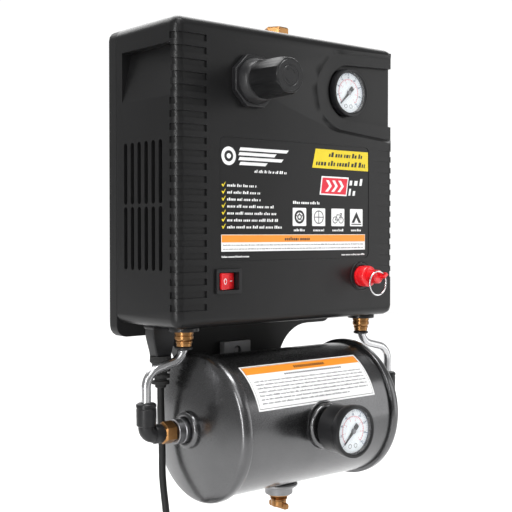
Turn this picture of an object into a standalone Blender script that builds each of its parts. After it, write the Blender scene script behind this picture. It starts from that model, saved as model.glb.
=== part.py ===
"""Wall-mounted mini air compressor: a moulded case with its pump inside, over a small cylindrical tank.

Sizes are in millimetres and MM turns them into metres. X runs to the right along the front, Y runs
into the wall and Z runs up. The origin is on the back face of the wall track, where the wall holds it.
"""
import math

import bmesh
import bpy
from mathutils import Matrix, Vector

MM = 0.001
GAP = 0.3

# Case
CASE_W = 254.0
CASE_TOP = 90.0
CASE_BOTTOM = -160.0
FRONT_Y = -101.0
SEAM_Y = -14.0
BACK_Y = -2.6
WALL = 3.0
FILLET = 8.5
SIDE_X = CASE_W / 2

# Back cover and its tongue, which carries the tank
COVER_BOTTOM = -172.4
COVER_CORNER = 10.0
TONGUE_HALF = 57.0
TONGUE_BOTTOM = -292.0
TONGUE_ARC = 38.0

# Grip ribs on the two front corners
RIB_PITCH = 10.3
RIB_HEIGHT = 5.3
RIB_DEPTH = {-1: 1.4, 1: 0.8}
RIB_WRAP_Y = -93.5
LEFT_RIBS = 22
LEFT_RIB_TOP = 76.1
LEFT_RIB_END = -96.4
RIGHT_RIBS = 12
RIGHT_RIB_TOP = -5.8
RIGHT_RIB_END = 105.6

# Side vents and finger pockets
VENT_COLUMNS = 6
VENT_FIRST_Y = -28.6
VENT_PITCH = 10.25
VENT_WIDTH = 5.0
VENT_ROWS = ((-7.6, -59.3), (-61.1, -113.8))
POCKET_TOP = 68.4
POCKET_BOTTOM = 26.2
POCKET_DEPTH = 9.5
POCKET_FRONT = {-1: -93.6, 1: -85.0}
POCKET_END = -23.5

# Controls on the front: centres in X and Z
REG_X, REG_Z = -49.4, 43.0
GAUGE_X, GAUGE_Z = 68.5, 44.9
VALVE_X, VALVE_Z = 82.0, -122.5
SWITCH_X, SWITCH_Z = -74.7, -122.5
LABEL_X = (-83.0, 91.8)
LABEL_Z = (-106.0, -4.0)
LABEL_DEPTH = 0.6

# Gauge recess: an open-ended channel in two steps
STEP_ONE = 4.0
STEP_TWO = 8.5
DISH_R = 37.0
DISH_X = 55.3
DISH_FLOOR_R = 34.5
DISH_FLOOR_X = 63.5
DISH_FLARE = math.radians(4.9)
DISH_RISE = math.radians(2.2)
RING_R = 24.9
RING_FLARE = math.radians(2.6)

# Gauges
GAUGE_R = 21.8
GAUGE_LIP = 19.2
TANK_GAUGE_FRONT = -175.1
NEEDLE_REST = math.radians(225)

# Tank
TANK_Y = -79.4
TANK_Z = -245.0
TANK_R = 59.5
TANK_WALL = 2.0
CAP_R = 62.6
CAP_START = 76.5
CAP_EDGE = 85.0
CAP_APEX = 100.0

# Pipework, the same on both sides
FIT_X = 103.8
FIT_Y = -79.6
PIPE_X = 141.0
PIPE_Z = -244.4
TUBE_R = 3.5

# Power cord
CORD_R = 3.0
CORD_X, CORD_Y = -106.0, -49.0
CORD_TOP = -213.3
HANK_TOP = -334.0
HANK_RUN = 103.0
HANK_HALF = 34.8
HANK_THICK = 14.0
PLUG_TOP = -540.0

# Outlet on the top
OUTLET_X, OUTLET_Y = 20.0, -52.6

# Pump: shaft along X, cylinder up
PUMP_Y = -56.0
PUMP_Z = -85.0
BORE_X = -40.0
CRANK_THROW = 5.0
BORE_R = 16.0
ROD_LENGTH = 45.0

# Wall track
TRACK_HALF = 25.0
TRACK_NECK = 32.0
TRACK_WING = 44.0
LIFT_ROOM = 57.0


def clear_scene():
    for item in list(bpy.data.objects):
        bpy.data.objects.remove(item, do_unlink=True)


def material(name, colour, roughness, metallic=0.0):
    found = bpy.data.materials.get(name)
    if found:
        return found
    made = bpy.data.materials.new(name)
    made.use_nodes = True
    shader = made.node_tree.nodes["Principled BSDF"]
    shader.inputs["Base Color"].default_value = (*colour, 1.0)
    shader.inputs["Roughness"].default_value = roughness
    shader.inputs["Metallic"].default_value = metallic
    return made


def black_plastic():
    return material("black_plastic", (0.018, 0.018, 0.019), 0.5)


def dark_plastic():
    return material("dark_plastic", (0.008, 0.008, 0.009), 0.35)


def red_plastic():
    return material("red_plastic", (0.75, 0.01, 0.02), 0.35)


def brass():
    return material("brass", (0.66, 0.42, 0.18), 0.28, 1.0)


def steel():
    return material("steel", (0.62, 0.62, 0.63), 0.25, 1.0)


def tank_paint():
    return material("tank_paint", (0.16, 0.16, 0.165), 0.32, 0.6)


def aluminium():
    return material("aluminium", (0.72, 0.72, 0.73), 0.4, 1.0)


def white_face():
    return material("white_face", (0.85, 0.87, 0.88), 0.4)


def rubber():
    return material("rubber", (0.012, 0.012, 0.012), 0.6)


def clear_lens():
    return material("clear_lens", (0.95, 0.97, 1.0), 0.05)


def finish(name, bm, paint, origin=(0.0, 0.0, 0.0), cutter=False):
    """Turn millimetre geometry in world space into an object whose origin is at the point given."""
    bmesh.ops.remove_doubles(bm, verts=bm.verts[:], dist=0.001)
    bmesh.ops.recalc_face_normals(bm, faces=bm.faces[:])
    shift = Matrix.Translation(-Vector(origin))
    bmesh.ops.transform(bm, matrix=Matrix.Scale(MM, 4) @ shift, verts=bm.verts[:])
    mesh = bpy.data.meshes.new(name)
    bm.to_mesh(mesh)
    bm.free()
    mesh.shade_smooth()
    mesh.set_sharp_from_angle(angle=math.radians(32))
    made = bpy.data.objects.new(name, mesh)
    made.location = Vector(origin) * MM
    bpy.context.scene.collection.objects.link(made)
    if paint:
        mesh.materials.append(paint)
    if cutter:
        made.hide_render = True
        made.display_type = 'WIRE'
    return made


def boolean(target, other, operation='DIFFERENCE'):
    """Cut or join with a second object, which stays in the file as a hidden guide."""
    step = target.modifiers.new(other.name, 'BOOLEAN')
    step.operation = operation
    step.solver = 'EXACT'
    step.object = other
    other.hide_render = True
    other.display_type = 'WIRE'


def spot(axis, along, u, v):
    """A point from a distance along an axis and two across it."""
    if axis == 'X':
        return Vector((along, u, v))
    if axis == 'Y':
        return Vector((u, along, v))
    return Vector((u, v, along))


def arc(cu, cv, radius, start, end, count):
    """Points on an arc, angles in degrees, ends included."""
    out = []
    for i in range(count + 1):
        turn = math.radians(start + (end - start) * i / count)
        out.append((cu + radius * math.cos(turn), cv + radius * math.sin(turn)))
    return out


def rounded(u0, u1, v0, v1, radius, count=4):
    """A rectangle's outline with round corners, anticlockwise."""
    out = arc(u1 - radius, v1 - radius, radius, 0, 90, count)
    out += arc(u0 + radius, v1 - radius, radius, 90, 180, count)
    out += arc(u0 + radius, v0 + radius, radius, 180, 270, count)
    out += arc(u1 - radius, v0 + radius, radius, 270, 360, count)
    return out


def add_loft(bm, rings):
    """Join rings of points, one after the other, and close both ends."""
    made = [[bm.verts.new(point) for point in ring] for ring in rings]
    count = len(made[0])
    for low, high in zip(made, made[1:]):
        for i in range(count):
            j = (i + 1) % count
            bm.faces.new((low[i], low[j], high[j], high[i]))
    bm.faces.new(list(reversed(made[0])))
    bm.faces.new(made[-1])


def add_prism(bm, outline, axis, low, high):
    add_loft(bm, [[spot(axis, at, u, v) for u, v in outline] for at in (low, high)])


def add_box(bm, x0, x1, y0, y1, z0, z1):
    add_prism(bm, [(x0, y0), (x1, y0), (x1, y1), (x0, y1)], 'Z', z0, z1)


def add_lathe(bm, profile, axis, centre, sides, phase=0.0):
    """Turn a closed profile of (radius, distance along the axis) points about an axis."""
    cu, cv = centre
    rings = []
    for radius, along in profile:
        if radius < 0.001:
            rings.append([bm.verts.new(spot(axis, along, cu, cv))])
            continue
        ring = []
        for i in range(sides):
            turn = phase + math.tau * i / sides
            place = spot(axis, along, cu + radius * math.cos(turn), cv + radius * math.sin(turn))
            ring.append(bm.verts.new(place))
        rings.append(ring)
    for low, high in zip(rings, rings[1:] + rings[:1]):
        if len(low) == 1 and len(high) == 1:
            continue
        for i in range(sides):
            j = (i + 1) % sides
            corners = [low[i % len(low)], low[j % len(low)], high[j % len(high)], high[i % len(high)]]
            bm.faces.new(list(dict.fromkeys(corners)))


def lathe(name, profile, axis, centre, sides, paint, origin=(0, 0, 0), phase=0.0, cutter=False):
    bm = bmesh.new()
    add_lathe(bm, profile, axis, centre, sides, phase)
    return finish(name, bm, paint, origin, cutter)


def prism(name, outline, axis, low, high, paint, origin=(0, 0, 0), cutter=False):
    bm = bmesh.new()
    add_prism(bm, outline, axis, low, high)
    return finish(name, bm, paint, origin, cutter)


def disc(radius, low, high, bevel=0.0):
    """Profile of a plain disc or rod, with an optional bevel round both ends."""
    if bevel <= 0:
        return [(0, low), (radius, low), (radius, high), (0, high)]
    return [(0, low), (radius - bevel, low), (radius, low + bevel),
            (radius, high - bevel), (radius - bevel, high), (0, high)]


def pipe(outer, inner, low, high):
    return [(inner, low), (outer, low), (outer, high), (inner, high)]


def moulded_box(inset, back_y, radius, steps):
    """The case's outer form, or its cavity: a box with round front and side edges."""
    bm = bmesh.new()
    add_box(bm, -SIDE_X + inset, SIDE_X - inset, FRONT_Y + inset, back_y,
            CASE_BOTTOM + inset, CASE_TOP - inset)
    rounds = []
    for edge in bm.edges:
        ends = [v.co.y for v in edge.verts]
        if min(ends) < FRONT_Y + inset + 1:
            rounds.append(edge)
    bmesh.ops.bevel(bm, geom=rounds, offset=radius, segments=steps, profile=0.5, affect='EDGES')
    return bm


def channel_outline(centre_x, radius, rise, flare, far_x, count=14):
    """A half circle on the left that opens out to the right between two straight sides."""
    out = arc(centre_x, GAUGE_Z, radius, 90 + math.degrees(rise), 270 - math.degrees(flare), count)
    last_x, last_z = out[-1]
    drop = (far_x - last_x) * math.tan(flare)
    out.append((far_x, last_z - drop))
    first_x, first_z = out[0]
    out.append((far_x, first_z + (far_x - first_x) * math.tan(rise)))
    return out


def rib_cutter(side, end_x, top, count, name):
    """Horizontal grooves that wrap round one front corner of the case."""
    centre_x = SIDE_X - FILLET
    depth = RIB_DEPTH[side]
    inner = FILLET - depth
    corner = arc(centre_x, FRONT_Y + FILLET, inner, 270, 360, 5)
    outline = [(abs(end_x), FRONT_Y + depth)] + corner
    outline += [(SIDE_X - depth, RIB_WRAP_Y + 1), (SIDE_X + 3, RIB_WRAP_Y + 1),
                (SIDE_X + 3, FRONT_Y - 3), (abs(end_x), FRONT_Y - 3)]
    bm = bmesh.new()
    for i in range(count):
        high = top - i * RIB_PITCH
        add_prism(bm, [(side * x, y) for x, y in outline], 'Z', high - RIB_HEIGHT, high)
    return finish(name, bm, None, cutter=True)


def pocket_outline(side, grow, outer_x):
    """Front view of a finger pocket: deep at the top and running out at the bottom."""
    out = [(outer_x, POCKET_TOP + grow), (SIDE_X - POCKET_DEPTH - grow, POCKET_TOP + grow),
           (SIDE_X - grow, POCKET_BOTTOM - grow), (outer_x, POCKET_BOTTOM - 8 - grow)]
    return [(side * x, z) for x, z in out]


def front_shroud():
    shroud = finish("front_shroud", moulded_box(0, SEAM_Y - GAP, FILLET, 5), black_plastic())
    cavity = finish("shroud_cavity", moulded_box(WALL, SEAM_Y + 6, FILLET - WALL, 1), None, cutter=True)

    boolean(shroud, cavity)

    pockets = bmesh.new()
    for side in (-1, 1):
        add_prism(pockets, pocket_outline(side, WALL, SIDE_X - 1.5), 'Y', POCKET_FRONT[side] - 2.8,
                  POCKET_END + WALL)
    boolean(shroud, finish("pocket_backing", pockets, None, cutter=True), 'UNION')
    dish_back = channel_outline(DISH_X, DISH_R + 2, DISH_RISE, DISH_FLARE, SIDE_X - 2.7)
    boolean(shroud, prism("dish_backing", dish_back, 'Y', FRONT_Y + 2.5, FRONT_Y + STEP_ONE + WALL, None,
                          cutter=True), 'UNION')
    ring_back = channel_outline(GAUGE_X, RING_R + WALL, RING_FLARE, RING_FLARE, SIDE_X - 1.4)
    boolean(shroud, prism("ring_backing", ring_back, 'Y', FRONT_Y + 5, FRONT_Y + STEP_TWO + WALL, None,
                          cutter=True), 'UNION')

    dish = bmesh.new()
    far = SIDE_X + 5
    outer = channel_outline(DISH_X - 1, DISH_R + 1, DISH_RISE, DISH_FLARE, far)
    floor = channel_outline(DISH_FLOOR_X, DISH_FLOOR_R, DISH_RISE, DISH_FLARE, far)
    add_loft(dish, [[spot('Y', FRONT_Y - 0.6, u, v) for u, v in outer],
                    [spot('Y', FRONT_Y + STEP_ONE, u, v) for u, v in floor]])
    boolean(shroud, finish("dish_cutter", dish, None, cutter=True))
    ring = bmesh.new()
    add_prism(ring, channel_outline(GAUGE_X, RING_R, RING_FLARE, RING_FLARE, far), 'Y',
              FRONT_Y - 2, FRONT_Y + STEP_TWO)
    boolean(shroud, finish("ring_cutter", ring, None, cutter=True))

    boolean(shroud, rib_cutter(-1, LEFT_RIB_END, LEFT_RIB_TOP, LEFT_RIBS, "left_rib_cutter"))
    boolean(shroud, rib_cutter(1, RIGHT_RIB_END, RIGHT_RIB_TOP, RIGHT_RIBS, "right_rib_cutter"))

    holes = bmesh.new()
    add_lathe(holes, disc(17.5, FRONT_Y - 2, FRONT_Y + 6), 'Y', (REG_X, REG_Z), 32)
    add_lathe(holes, disc(GAUGE_R - 1.2, FRONT_Y + 5, FRONT_Y + 16), 'Y', (GAUGE_X, GAUGE_Z), 32)
    add_lathe(holes, disc(12.6, FRONT_Y - 2, FRONT_Y + 6), 'Y', (VALVE_X, VALVE_Z), 32)
    add_box(holes, SWITCH_X - 11, SWITCH_X + 11, FRONT_Y - 2, FRONT_Y + 6, SWITCH_Z - 8.2, SWITCH_Z + 8.2)
    add_lathe(holes, disc(7.6, CASE_TOP - 6, CASE_TOP + 2), 'Z', (OUTLET_X, OUTLET_Y), 24)
    for side in (-1, 1):
        add_lathe(holes, disc(5.6, CASE_BOTTOM - 2, CASE_BOTTOM + 6), 'Z', (side * FIT_X, FIT_Y), 20)
    add_box(holes, CORD_X - 9, CORD_X + 9, CORD_Y - 5, CORD_Y + 5, CASE_BOTTOM - 2, CASE_BOTTOM + 6)
    boolean(shroud, finish("hole_cutter", holes, None, cutter=True))

    vents = bmesh.new()
    half = VENT_WIDTH / 2
    for side in (-1, 1):
        for column in range(VENT_COLUMNS):
            centre = VENT_FIRST_Y - column * VENT_PITCH
            for top, bottom in VENT_ROWS:
                slot = rounded(centre - half, centre + half, bottom, top, half - 0.05, 3)
                add_prism(vents, slot, 'X', side * (SIDE_X - 6), side * (SIDE_X + 2))
        add_prism(vents, pocket_outline(side, 0, SIDE_X + 4), 'Y', POCKET_FRONT[side], POCKET_END)
    boolean(shroud, finish("side_cutter", vents, None, cutter=True))

    label = rounded(*LABEL_X, *LABEL_Z, 5.0)
    boolean(shroud, prism("label_cutter", label, 'Y', FRONT_Y - 2, FRONT_Y + LABEL_DEPTH, None, cutter=True))


def cover_outline():
    """Back cover seen from the front: the case's rectangle with a narrower tongue below it."""
    arc_x = TONGUE_HALF + TONGUE_ARC
    arc_z = COVER_BOTTOM - TONGUE_ARC
    edge = COVER_CORNER
    right = [(0, CASE_TOP)]
    right += arc(SIDE_X - FILLET, CASE_TOP - FILLET, FILLET, 90, 0, 4)
    right += arc(SIDE_X - edge, COVER_BOTTOM + edge, edge, 0, -90, 4)
    right += arc(arc_x, arc_z, TONGUE_ARC, 90, 180, 10)
    right += arc(TONGUE_HALF - edge, TONGUE_BOTTOM + edge, edge, 0, -90, 4)
    right += [(0, TONGUE_BOTTOM)]
    left = [(-x, z) for x, z in reversed(right[1:-1])]
    return right + left


def back_cover():
    cover = prism("back_cover", cover_outline(), 'Y', SEAM_Y, BACK_Y, black_plastic())
    inside = rounded(-SIDE_X + WALL, SIDE_X - WALL, CASE_BOTTOM + WALL, CASE_TOP - WALL, FILLET - WALL)
    hollow = prism("cover_hollow", inside, 'Y', SEAM_Y - 2, BACK_Y - WALL, None, cutter=True)
    block = bmesh.new()
    add_box(block, -50, 50, SEAM_Y - 4, BACK_Y, -TRACK_HALF - LIFT_ROOM - 6, TRACK_HALF + 8)
    boolean(hollow, finish("track_block", block, None, cutter=True))
    boolean(cover, hollow)
    cuts = bmesh.new()
    add_box(cuts, -47, 47, BACK_Y - 9.6, BACK_Y + 2, -TRACK_HALF - LIFT_ROOM - 2, TRACK_HALF + 3.2)
    add_box(cuts, 4 - TONGUE_HALF, TONGUE_HALF - 4, BACK_Y - 8, BACK_Y + 2, TONGUE_BOTTOM + 5, -178)
    add_lathe(cuts, disc(2.2, SEAM_Y - 2, BACK_Y + 2), 'Y', (0, -192), 16)
    boolean(cover, finish("cover_cutter", cuts, None, cutter=True))


def wall_track():
    shape = [(-TRACK_NECK, 0), (TRACK_NECK, 0), (TRACK_NECK, -5.4), (TRACK_WING, -5.4),
             (TRACK_WING, -8), (-TRACK_WING, -8), (-TRACK_WING, -5.4), (-TRACK_NECK, -5.4)]
    track = prism("wall_track", shape, 'Z', -TRACK_HALF, TRACK_HALF, steel())
    holes = bmesh.new()
    for height in (-15, 15):
        profile = [(0, 1), (2.6, 1), (2.6, -5), (5.2, -7.6), (5.2, -9), (0, -9)]
        add_lathe(holes, profile, 'Y', (0, height), 16)
    boolean(track, finish("track_screw_cutter", holes, None, cutter=True))


def slide_channel():
    web = BACK_Y - 9.3
    lip = BACK_Y - 2.2
    shape = [(-34, BACK_Y - 0.6), (-46.6, BACK_Y - 0.6), (-46.6, web), (46.6, web), (46.6, BACK_Y - 0.6),
             (34, BACK_Y - 0.6), (34, lip), (45, lip), (45, web + 1.5), (-45, web + 1.5),
             (-45, lip), (-34, lip)]
    low = -TRACK_HALF - LIFT_ROOM
    channel = prism("slide_channel", shape, 'Z', low, TRACK_HALF + 2.8, steel())
    notch = bmesh.new()
    add_box(notch, -45, 45, lip - 0.5, BACK_Y, low - 1, -TRACK_HALF - 1)
    boolean(channel, finish("channel_notch", notch, None, cutter=True))
    stop = bmesh.new()
    add_box(stop, -45.5, 45.5, web + 0.5, lip + 0.8, TRACK_HALF + GAP, TRACK_HALF + 2.8)
    boolean(channel, finish("channel_stop", stop, None, cutter=True), 'UNION')


def regulator():
    centre = (REG_X, REG_Z)
    nut_across = 21.5 / math.cos(math.pi / 8)
    nut_bore = 16.5 / math.cos(math.pi / 8)
    lathe("regulator_nut", [(nut_bore, FRONT_Y - 6.2), (nut_across - 0.8, FRONT_Y - 6.2),
                            (nut_across, FRONT_Y - 5.4), (nut_across, FRONT_Y - GAP), (nut_bore, FRONT_Y - GAP)],
          'Y', centre, 8, dark_plastic(), phase=math.pi / 8)
    front = FRONT_Y - 15.2
    lathe("regulator_bonnet", [(6, front), (15.6, front), (17.4, front + 1.6), (19.4, FRONT_Y - 8),
                               (19.4, FRONT_Y - 6.5), (16, FRONT_Y - 6.5), (16, FRONT_Y + 36), (0, FRONT_Y + 36),
                               (0, FRONT_Y + 12), (6, FRONT_Y + 12)],
          'Y', centre, 32, black_plastic())
    axis = (REG_X, FRONT_Y, REG_Z)
    lathe("regulator_spindle", disc(4, FRONT_Y - 38, FRONT_Y + 11.7), 'Y', centre, 16, brass(), axis)
    back = FRONT_Y - 15.8
    tip = FRONT_Y - 48
    knob = lathe("regulator_knob", [(0, tip - 0.8), (12.4, tip - 0.8), (12.6, tip), (14, tip),
                                    (15, tip + 1.2), (16.2, back - 1.2), (15.6, back),
                                    (4.4, back), (4.4, FRONT_Y - 43), (0, FRONT_Y - 43)],
                 'Y', centre, 40, dark_plastic(), axis)
    grooves = bmesh.new()
    for i in range(8):
        turn = math.tau * (i + 0.5) / 8
        place = (REG_X + 18.4 * math.cos(turn), REG_Z + 18.4 * math.sin(turn))
        add_lathe(grooves, disc(3.2, tip - 2, back - 3), 'Y', place, 10)
    boolean(knob, finish("knob_groove_cutter", grooves, None, cutter=True))


def gauge(prefix, x, z, front, body_back):
    """A round pressure gauge: its case with a lip, the dial, the needle and the lens."""
    centre = (x, z)
    dial_y = front + 4.0
    lathe(prefix + "_case", [(GAUGE_LIP, front), (GAUGE_R - 0.8, front), (GAUGE_R, front + 0.8),
                             (GAUGE_R, front + 7.4), (GAUGE_R - 1.6, front + 8.6), (GAUGE_R - 1.6, body_back),
                             (6, body_back), (6, body_back + 6), (0, body_back + 6), (0, dial_y + 1),
                             (GAUGE_LIP, dial_y + 1)],
          'Y', centre, 32, dark_plastic())
    lathe(prefix + "_dial", disc(GAUGE_LIP - GAP, dial_y, dial_y + 0.7), 'Y', centre, 32, white_face())
    lathe(prefix + "_lens", disc(GAUGE_LIP - GAP, front + 0.6, front + 1.6), 'Y', centre, 32, clear_lens())
    needle = bmesh.new()
    direction = Vector((math.cos(NEEDLE_REST), math.sin(NEEDLE_REST)))
    across = Vector((-direction.y, direction.x))
    middle = Vector(centre)
    outline = [middle + direction * 14.5 + across * 0.25, middle + across * 1.3,
               middle - direction * 2.4 + across * 1.1, middle - direction * 2.6 + across * 1.9,
               middle - direction * 6.8 + across * 1.9, middle - direction * 6.8 - across * 1.9,
               middle - direction * 2.6 - across * 1.9, middle - direction * 2.4 - across * 1.1,
               middle - across * 1.3, middle + direction * 14.5 - across * 0.25]
    add_prism(needle, [tuple(p) for p in outline], 'Y', dial_y - 1.2, dial_y - 0.5)
    hub = lathe(prefix + "_hub_form", disc(2.0, dial_y - 1.6, dial_y - 0.3), 'Y', centre, 16, None, cutter=True)
    made = finish(prefix + "_needle", needle, dark_plastic(), (x, dial_y, z))
    boolean(made, hub, 'UNION')


def power_switch():
    front = FRONT_Y - 2.0
    frame = bmesh.new()
    add_prism(frame, rounded(SWITCH_X - 13.2, SWITCH_X + 13.2, SWITCH_Z - 10.1, SWITCH_Z + 10.1, 0.8, 2),
              'Y', front, FRONT_Y - GAP)
    made = finish("switch_frame", frame, dark_plastic())
    body = bmesh.new()
    add_box(body, SWITCH_X - 10.7, SWITCH_X + 10.7, front + 1, FRONT_Y + 24, SWITCH_Z - 7.9, SWITCH_Z + 7.9)
    boolean(made, finish("switch_body_form", body, None, cutter=True), 'UNION')
    well = bmesh.new()
    add_box(well, SWITCH_X - 10.2, SWITCH_X + 10.2, front - 1, FRONT_Y + 12, SWITCH_Z - 7.3, SWITCH_Z + 7.3)
    boolean(made, finish("switch_well", well, None, cutter=True))

    pivot = (SWITCH_X, FRONT_Y + 4.5, SWITCH_Z)
    left, right = SWITCH_X - 9.3, SWITCH_X + 9.3
    outline = [(left, front - 1.6), (SWITCH_X, front + 1.0), (right, front + 5.6),
               (right - 1.8, FRONT_Y + 7), (SWITCH_X, FRONT_Y + 9.5), (left + 0.6, FRONT_Y + 5)]
    prism("switch_rocker", outline, 'Z', SWITCH_Z - 6.8, SWITCH_Z + 6.8, red_plastic(), pivot)


def safety_valve():
    centre = (VALVE_X, VALVE_Z)
    lathe("safety_valve_body", [(0, FRONT_Y + 26), (6, FRONT_Y + 26), (6, FRONT_Y + 12), (9.6, FRONT_Y + 12),
                                (9.6, FRONT_Y - 10.4), (8.6, FRONT_Y - 11.6), (3.4, FRONT_Y - 11.6),
                                (3.4, FRONT_Y + 4), (0, FRONT_Y + 4)],
          'Y', centre, 24, red_plastic())
    tip = FRONT_Y - 22.6
    stem = lathe("safety_valve_stem", [(0, tip), (5.0, tip), (6.2, tip + 1.2), (6.2, FRONT_Y - 12.0),
                                       (2.9, FRONT_Y - 12.0), (2.9, FRONT_Y + 3.0), (0, FRONT_Y + 3.0)],
                 'Y', centre, 24, red_plastic(), (VALVE_X, FRONT_Y - 12, VALVE_Z))
    ring_r = 10.6
    hook = Vector((VALVE_X + 3.6, VALVE_Z + 1.2))
    lean = math.radians(40)
    middle = hook - Vector((math.cos(lean), math.sin(lean))) * ring_r
    ring_y = tip - 2.6
    ear = bmesh.new()
    add_prism(ear, [(hook.x + u * math.cos(lean) - v * math.sin(lean),
                     hook.y + u * math.sin(lean) + v * math.cos(lean))
                    for u, v in ((-2.6, -1.3), (2.6, -1.3), (2.6, 1.3), (-2.6, 1.3))],
              'Y', tip - 5.2, tip + 0.6)
    boolean(stem, finish("stem_ear", ear, None, cutter=True), 'UNION')
    eye = bmesh.new()
    add_lathe(eye, disc(1.35, -3, 3), 'Z', (0, 0), 12)
    tangent = Matrix.Rotation(-lean, 4, 'Y')
    bmesh.ops.transform(eye, matrix=Matrix.Translation((hook.x, ring_y, hook.y)) @ tangent, verts=eye.verts[:])
    boolean(stem, finish("stem_eye_cutter", eye, None, cutter=True))
    ring = [(ring_r + 0.75 * math.cos(t), ring_y + 0.75 * math.sin(t))
            for t in (math.tau * i / 6 for i in range(6))]
    lathe("pull_ring", ring, 'Y', tuple(middle), 28, steel(), (hook.x, ring_y, hook.y))


def dome_profile():
    """Outer line of a tank end cap from its open edge to its middle: (radius, distance out)."""
    knuckle = 13.0
    out = [(CAP_R, CAP_START), (CAP_R, CAP_EDGE - 2)]
    out += arc(CAP_R - knuckle, CAP_EDGE - 2, knuckle, 20, 60, 2)
    last_r, last_x = out[-1]
    for share in (0.4, 0.7):
        out.append((last_r * (1 - share), last_x + (CAP_APEX - last_x) * (1 - (1 - share) ** 2)))
    return out


def tank():
    centre = (TANK_Y, TANK_Z)
    body = lathe("tank_body", pipe(TANK_R, TANK_R - TANK_WALL, -CAP_START - 4, CAP_START + 4), 'X',
                 centre, 40, tank_paint())
    ports = bmesh.new()
    add_lathe(ports, disc(6.6, TANK_Y - TANK_R - 4, TANK_Y - TANK_R + 8), 'Y', (0, TANK_Z), 20)
    add_lathe(ports, disc(6.6, TANK_Z - TANK_R - 4, TANK_Z - TANK_R + 8), 'Z', (0, TANK_Y), 20)
    boolean(body, finish("tank_port_cutter", ports, None, cutter=True))
    port_r = 7.3
    for side, word in ((-1, "left"), (1, "right")):
        outer = dome_profile()
        inner = [(max(r - TANK_WALL, port_r), x - TANK_WALL) for r, x in outer[2::2]]
        profile = [(r, side * x) for r, x in outer]
        profile += [(port_r, side * CAP_APEX)]
        profile += [(r, side * x) for r, x in reversed(inner)]
        profile += [(TANK_R + GAP, side * (CAP_EDGE - 2 - TANK_WALL)), (TANK_R + GAP, side * CAP_START)]
        lathe("tank_cap_" + word, profile, 'X', centre, 40, tank_paint())
        bung = [(7.0, 92), (7.0, 100.3), (14.4, 101.2), (14.4, 103.6), (12.8, 105.2), (10.2, 105.2),
                (10.2, 114.8), (5.2, 114.8), (5.2, 92)]
        bung = [(r, side * x) for r, x in bung]
        lathe("end_bung_" + word, bung, 'X', centre, 24, steel())
    front = TANK_Y - TANK_R
    lathe("gauge_bung", [(6.3, front + 3), (6.3, front - 1), (18.6, front - 0.8), (18.6, front - 3.4),
                         (17.0, front - 4.8), (3.2, front - 4.8), (3.2, front + 3)],
          'Y', (0, TANK_Z), 28, steel())


def drain():
    centre = (0, TANK_Y)
    base = TANK_Z - TANK_R
    lathe("drain_boss", [(6.3, base + 3), (6.3, base - 0.7), (16.6, base - 0.7), (16.6, base - 2.4),
                         (12.4, base - 4.2), (12.4, base - 9.6), (5.6, base - 9.6), (5.6, base + 3)],
          'Z', centre, 24, tank_paint())
    lathe("drain_valve_body", [(3.0, base - 15.2), (8.2, base - 15.2), (9.8, base - 13.6), (9.8, base - 9.9),
                               (5.2, base - 9.9), (5.2, base + 2), (3.0, base + 2)],
          'Z', centre, 24, brass())
    axis = (0, TANK_Y, base - 18)
    stem = lathe("drain_screw", [(0, base - 21), (6.2, base - 21), (6.8, base - 20), (6.8, base - 15.6),
                                 (2.6, base - 15.6), (2.6, base - 4), (0, base - 4)],
                 'Z', centre, 24, brass(), axis)
    wings = bmesh.new()
    add_prism(wings, rounded(TANK_Y - 11.5, TANK_Y + 11.5, base - 22.6, base - 17.4, 1.6, 2), 'X', -1.5, 1.5)
    boolean(stem, finish("drain_wing_form", wings, None, cutter=True), 'UNION')


def tank_bracket():
    bm = bmesh.new()
    add_prism(bm, rounded(-15.6, 15.6, -262, -183.4, 0.6, 1), 'Y', -21.2, SEAM_Y - GAP)
    made = finish("tank_bracket", bm, tank_paint())
    cut = bmesh.new()
    add_lathe(cut, disc(TANK_R + GAP, -20, 20), 'X', (TANK_Y, TANK_Z), 40)
    add_prism(cut, arc(0, -192, 4.3, 0, 180, 8) + [(-4.3, -199), (4.3, -199)], 'Y', -23, -17)
    boolean(made, finish("bracket_cutter", cut, None, cutter=True))
    screw = [(0, -19.4), (2.6, -19.4), (3.6, -18.2), (3.6, -16), (1.9, -16), (1.9, -10), (0, -10)]
    boolean(made, lathe("bracket_screw_form", screw, 'Y', (0, -192), 16, None, cutter=True), 'UNION')


def bend_path(points, radius, count=5):
    """A path through corner points whose corners are turned with the radius given."""
    corners = [Vector(p) for p in points]
    out = [corners[0]]
    for before, here, after in zip(corners, corners[1:], corners[2:]):
        a = (before - here).normalized()
        b = (after - here).normalized()
        half = a.angle(b) / 2
        reach = radius / math.tan(half)
        centre = here + (a + b).normalized() * (radius / math.sin(half))
        start = (here + a * reach - centre).normalized()
        end = (here + b * reach - centre).normalized()
        for i in range(count + 1):
            out.append(centre + start.slerp(end, i / count) * radius)
    out.append(corners[-1])
    return out


def tube(name, points, radius, paint, resolution=2):
    """A round tube with closed ends along a path."""
    curve = bpy.data.curves.new(name, 'CURVE')
    curve.dimensions = '3D'
    curve.bevel_depth = radius * MM
    curve.bevel_resolution = resolution
    curve.use_fill_caps = True
    line = curve.splines.new('POLY')
    line.points.add(len(points) - 1)
    for place, point in zip(line.points, points):
        place.co = (*(Vector(point) * MM), 1.0)
    curve.materials.append(paint)
    made = bpy.data.objects.new(name, curve)
    bpy.context.scene.collection.objects.link(made)
    return made


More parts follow.
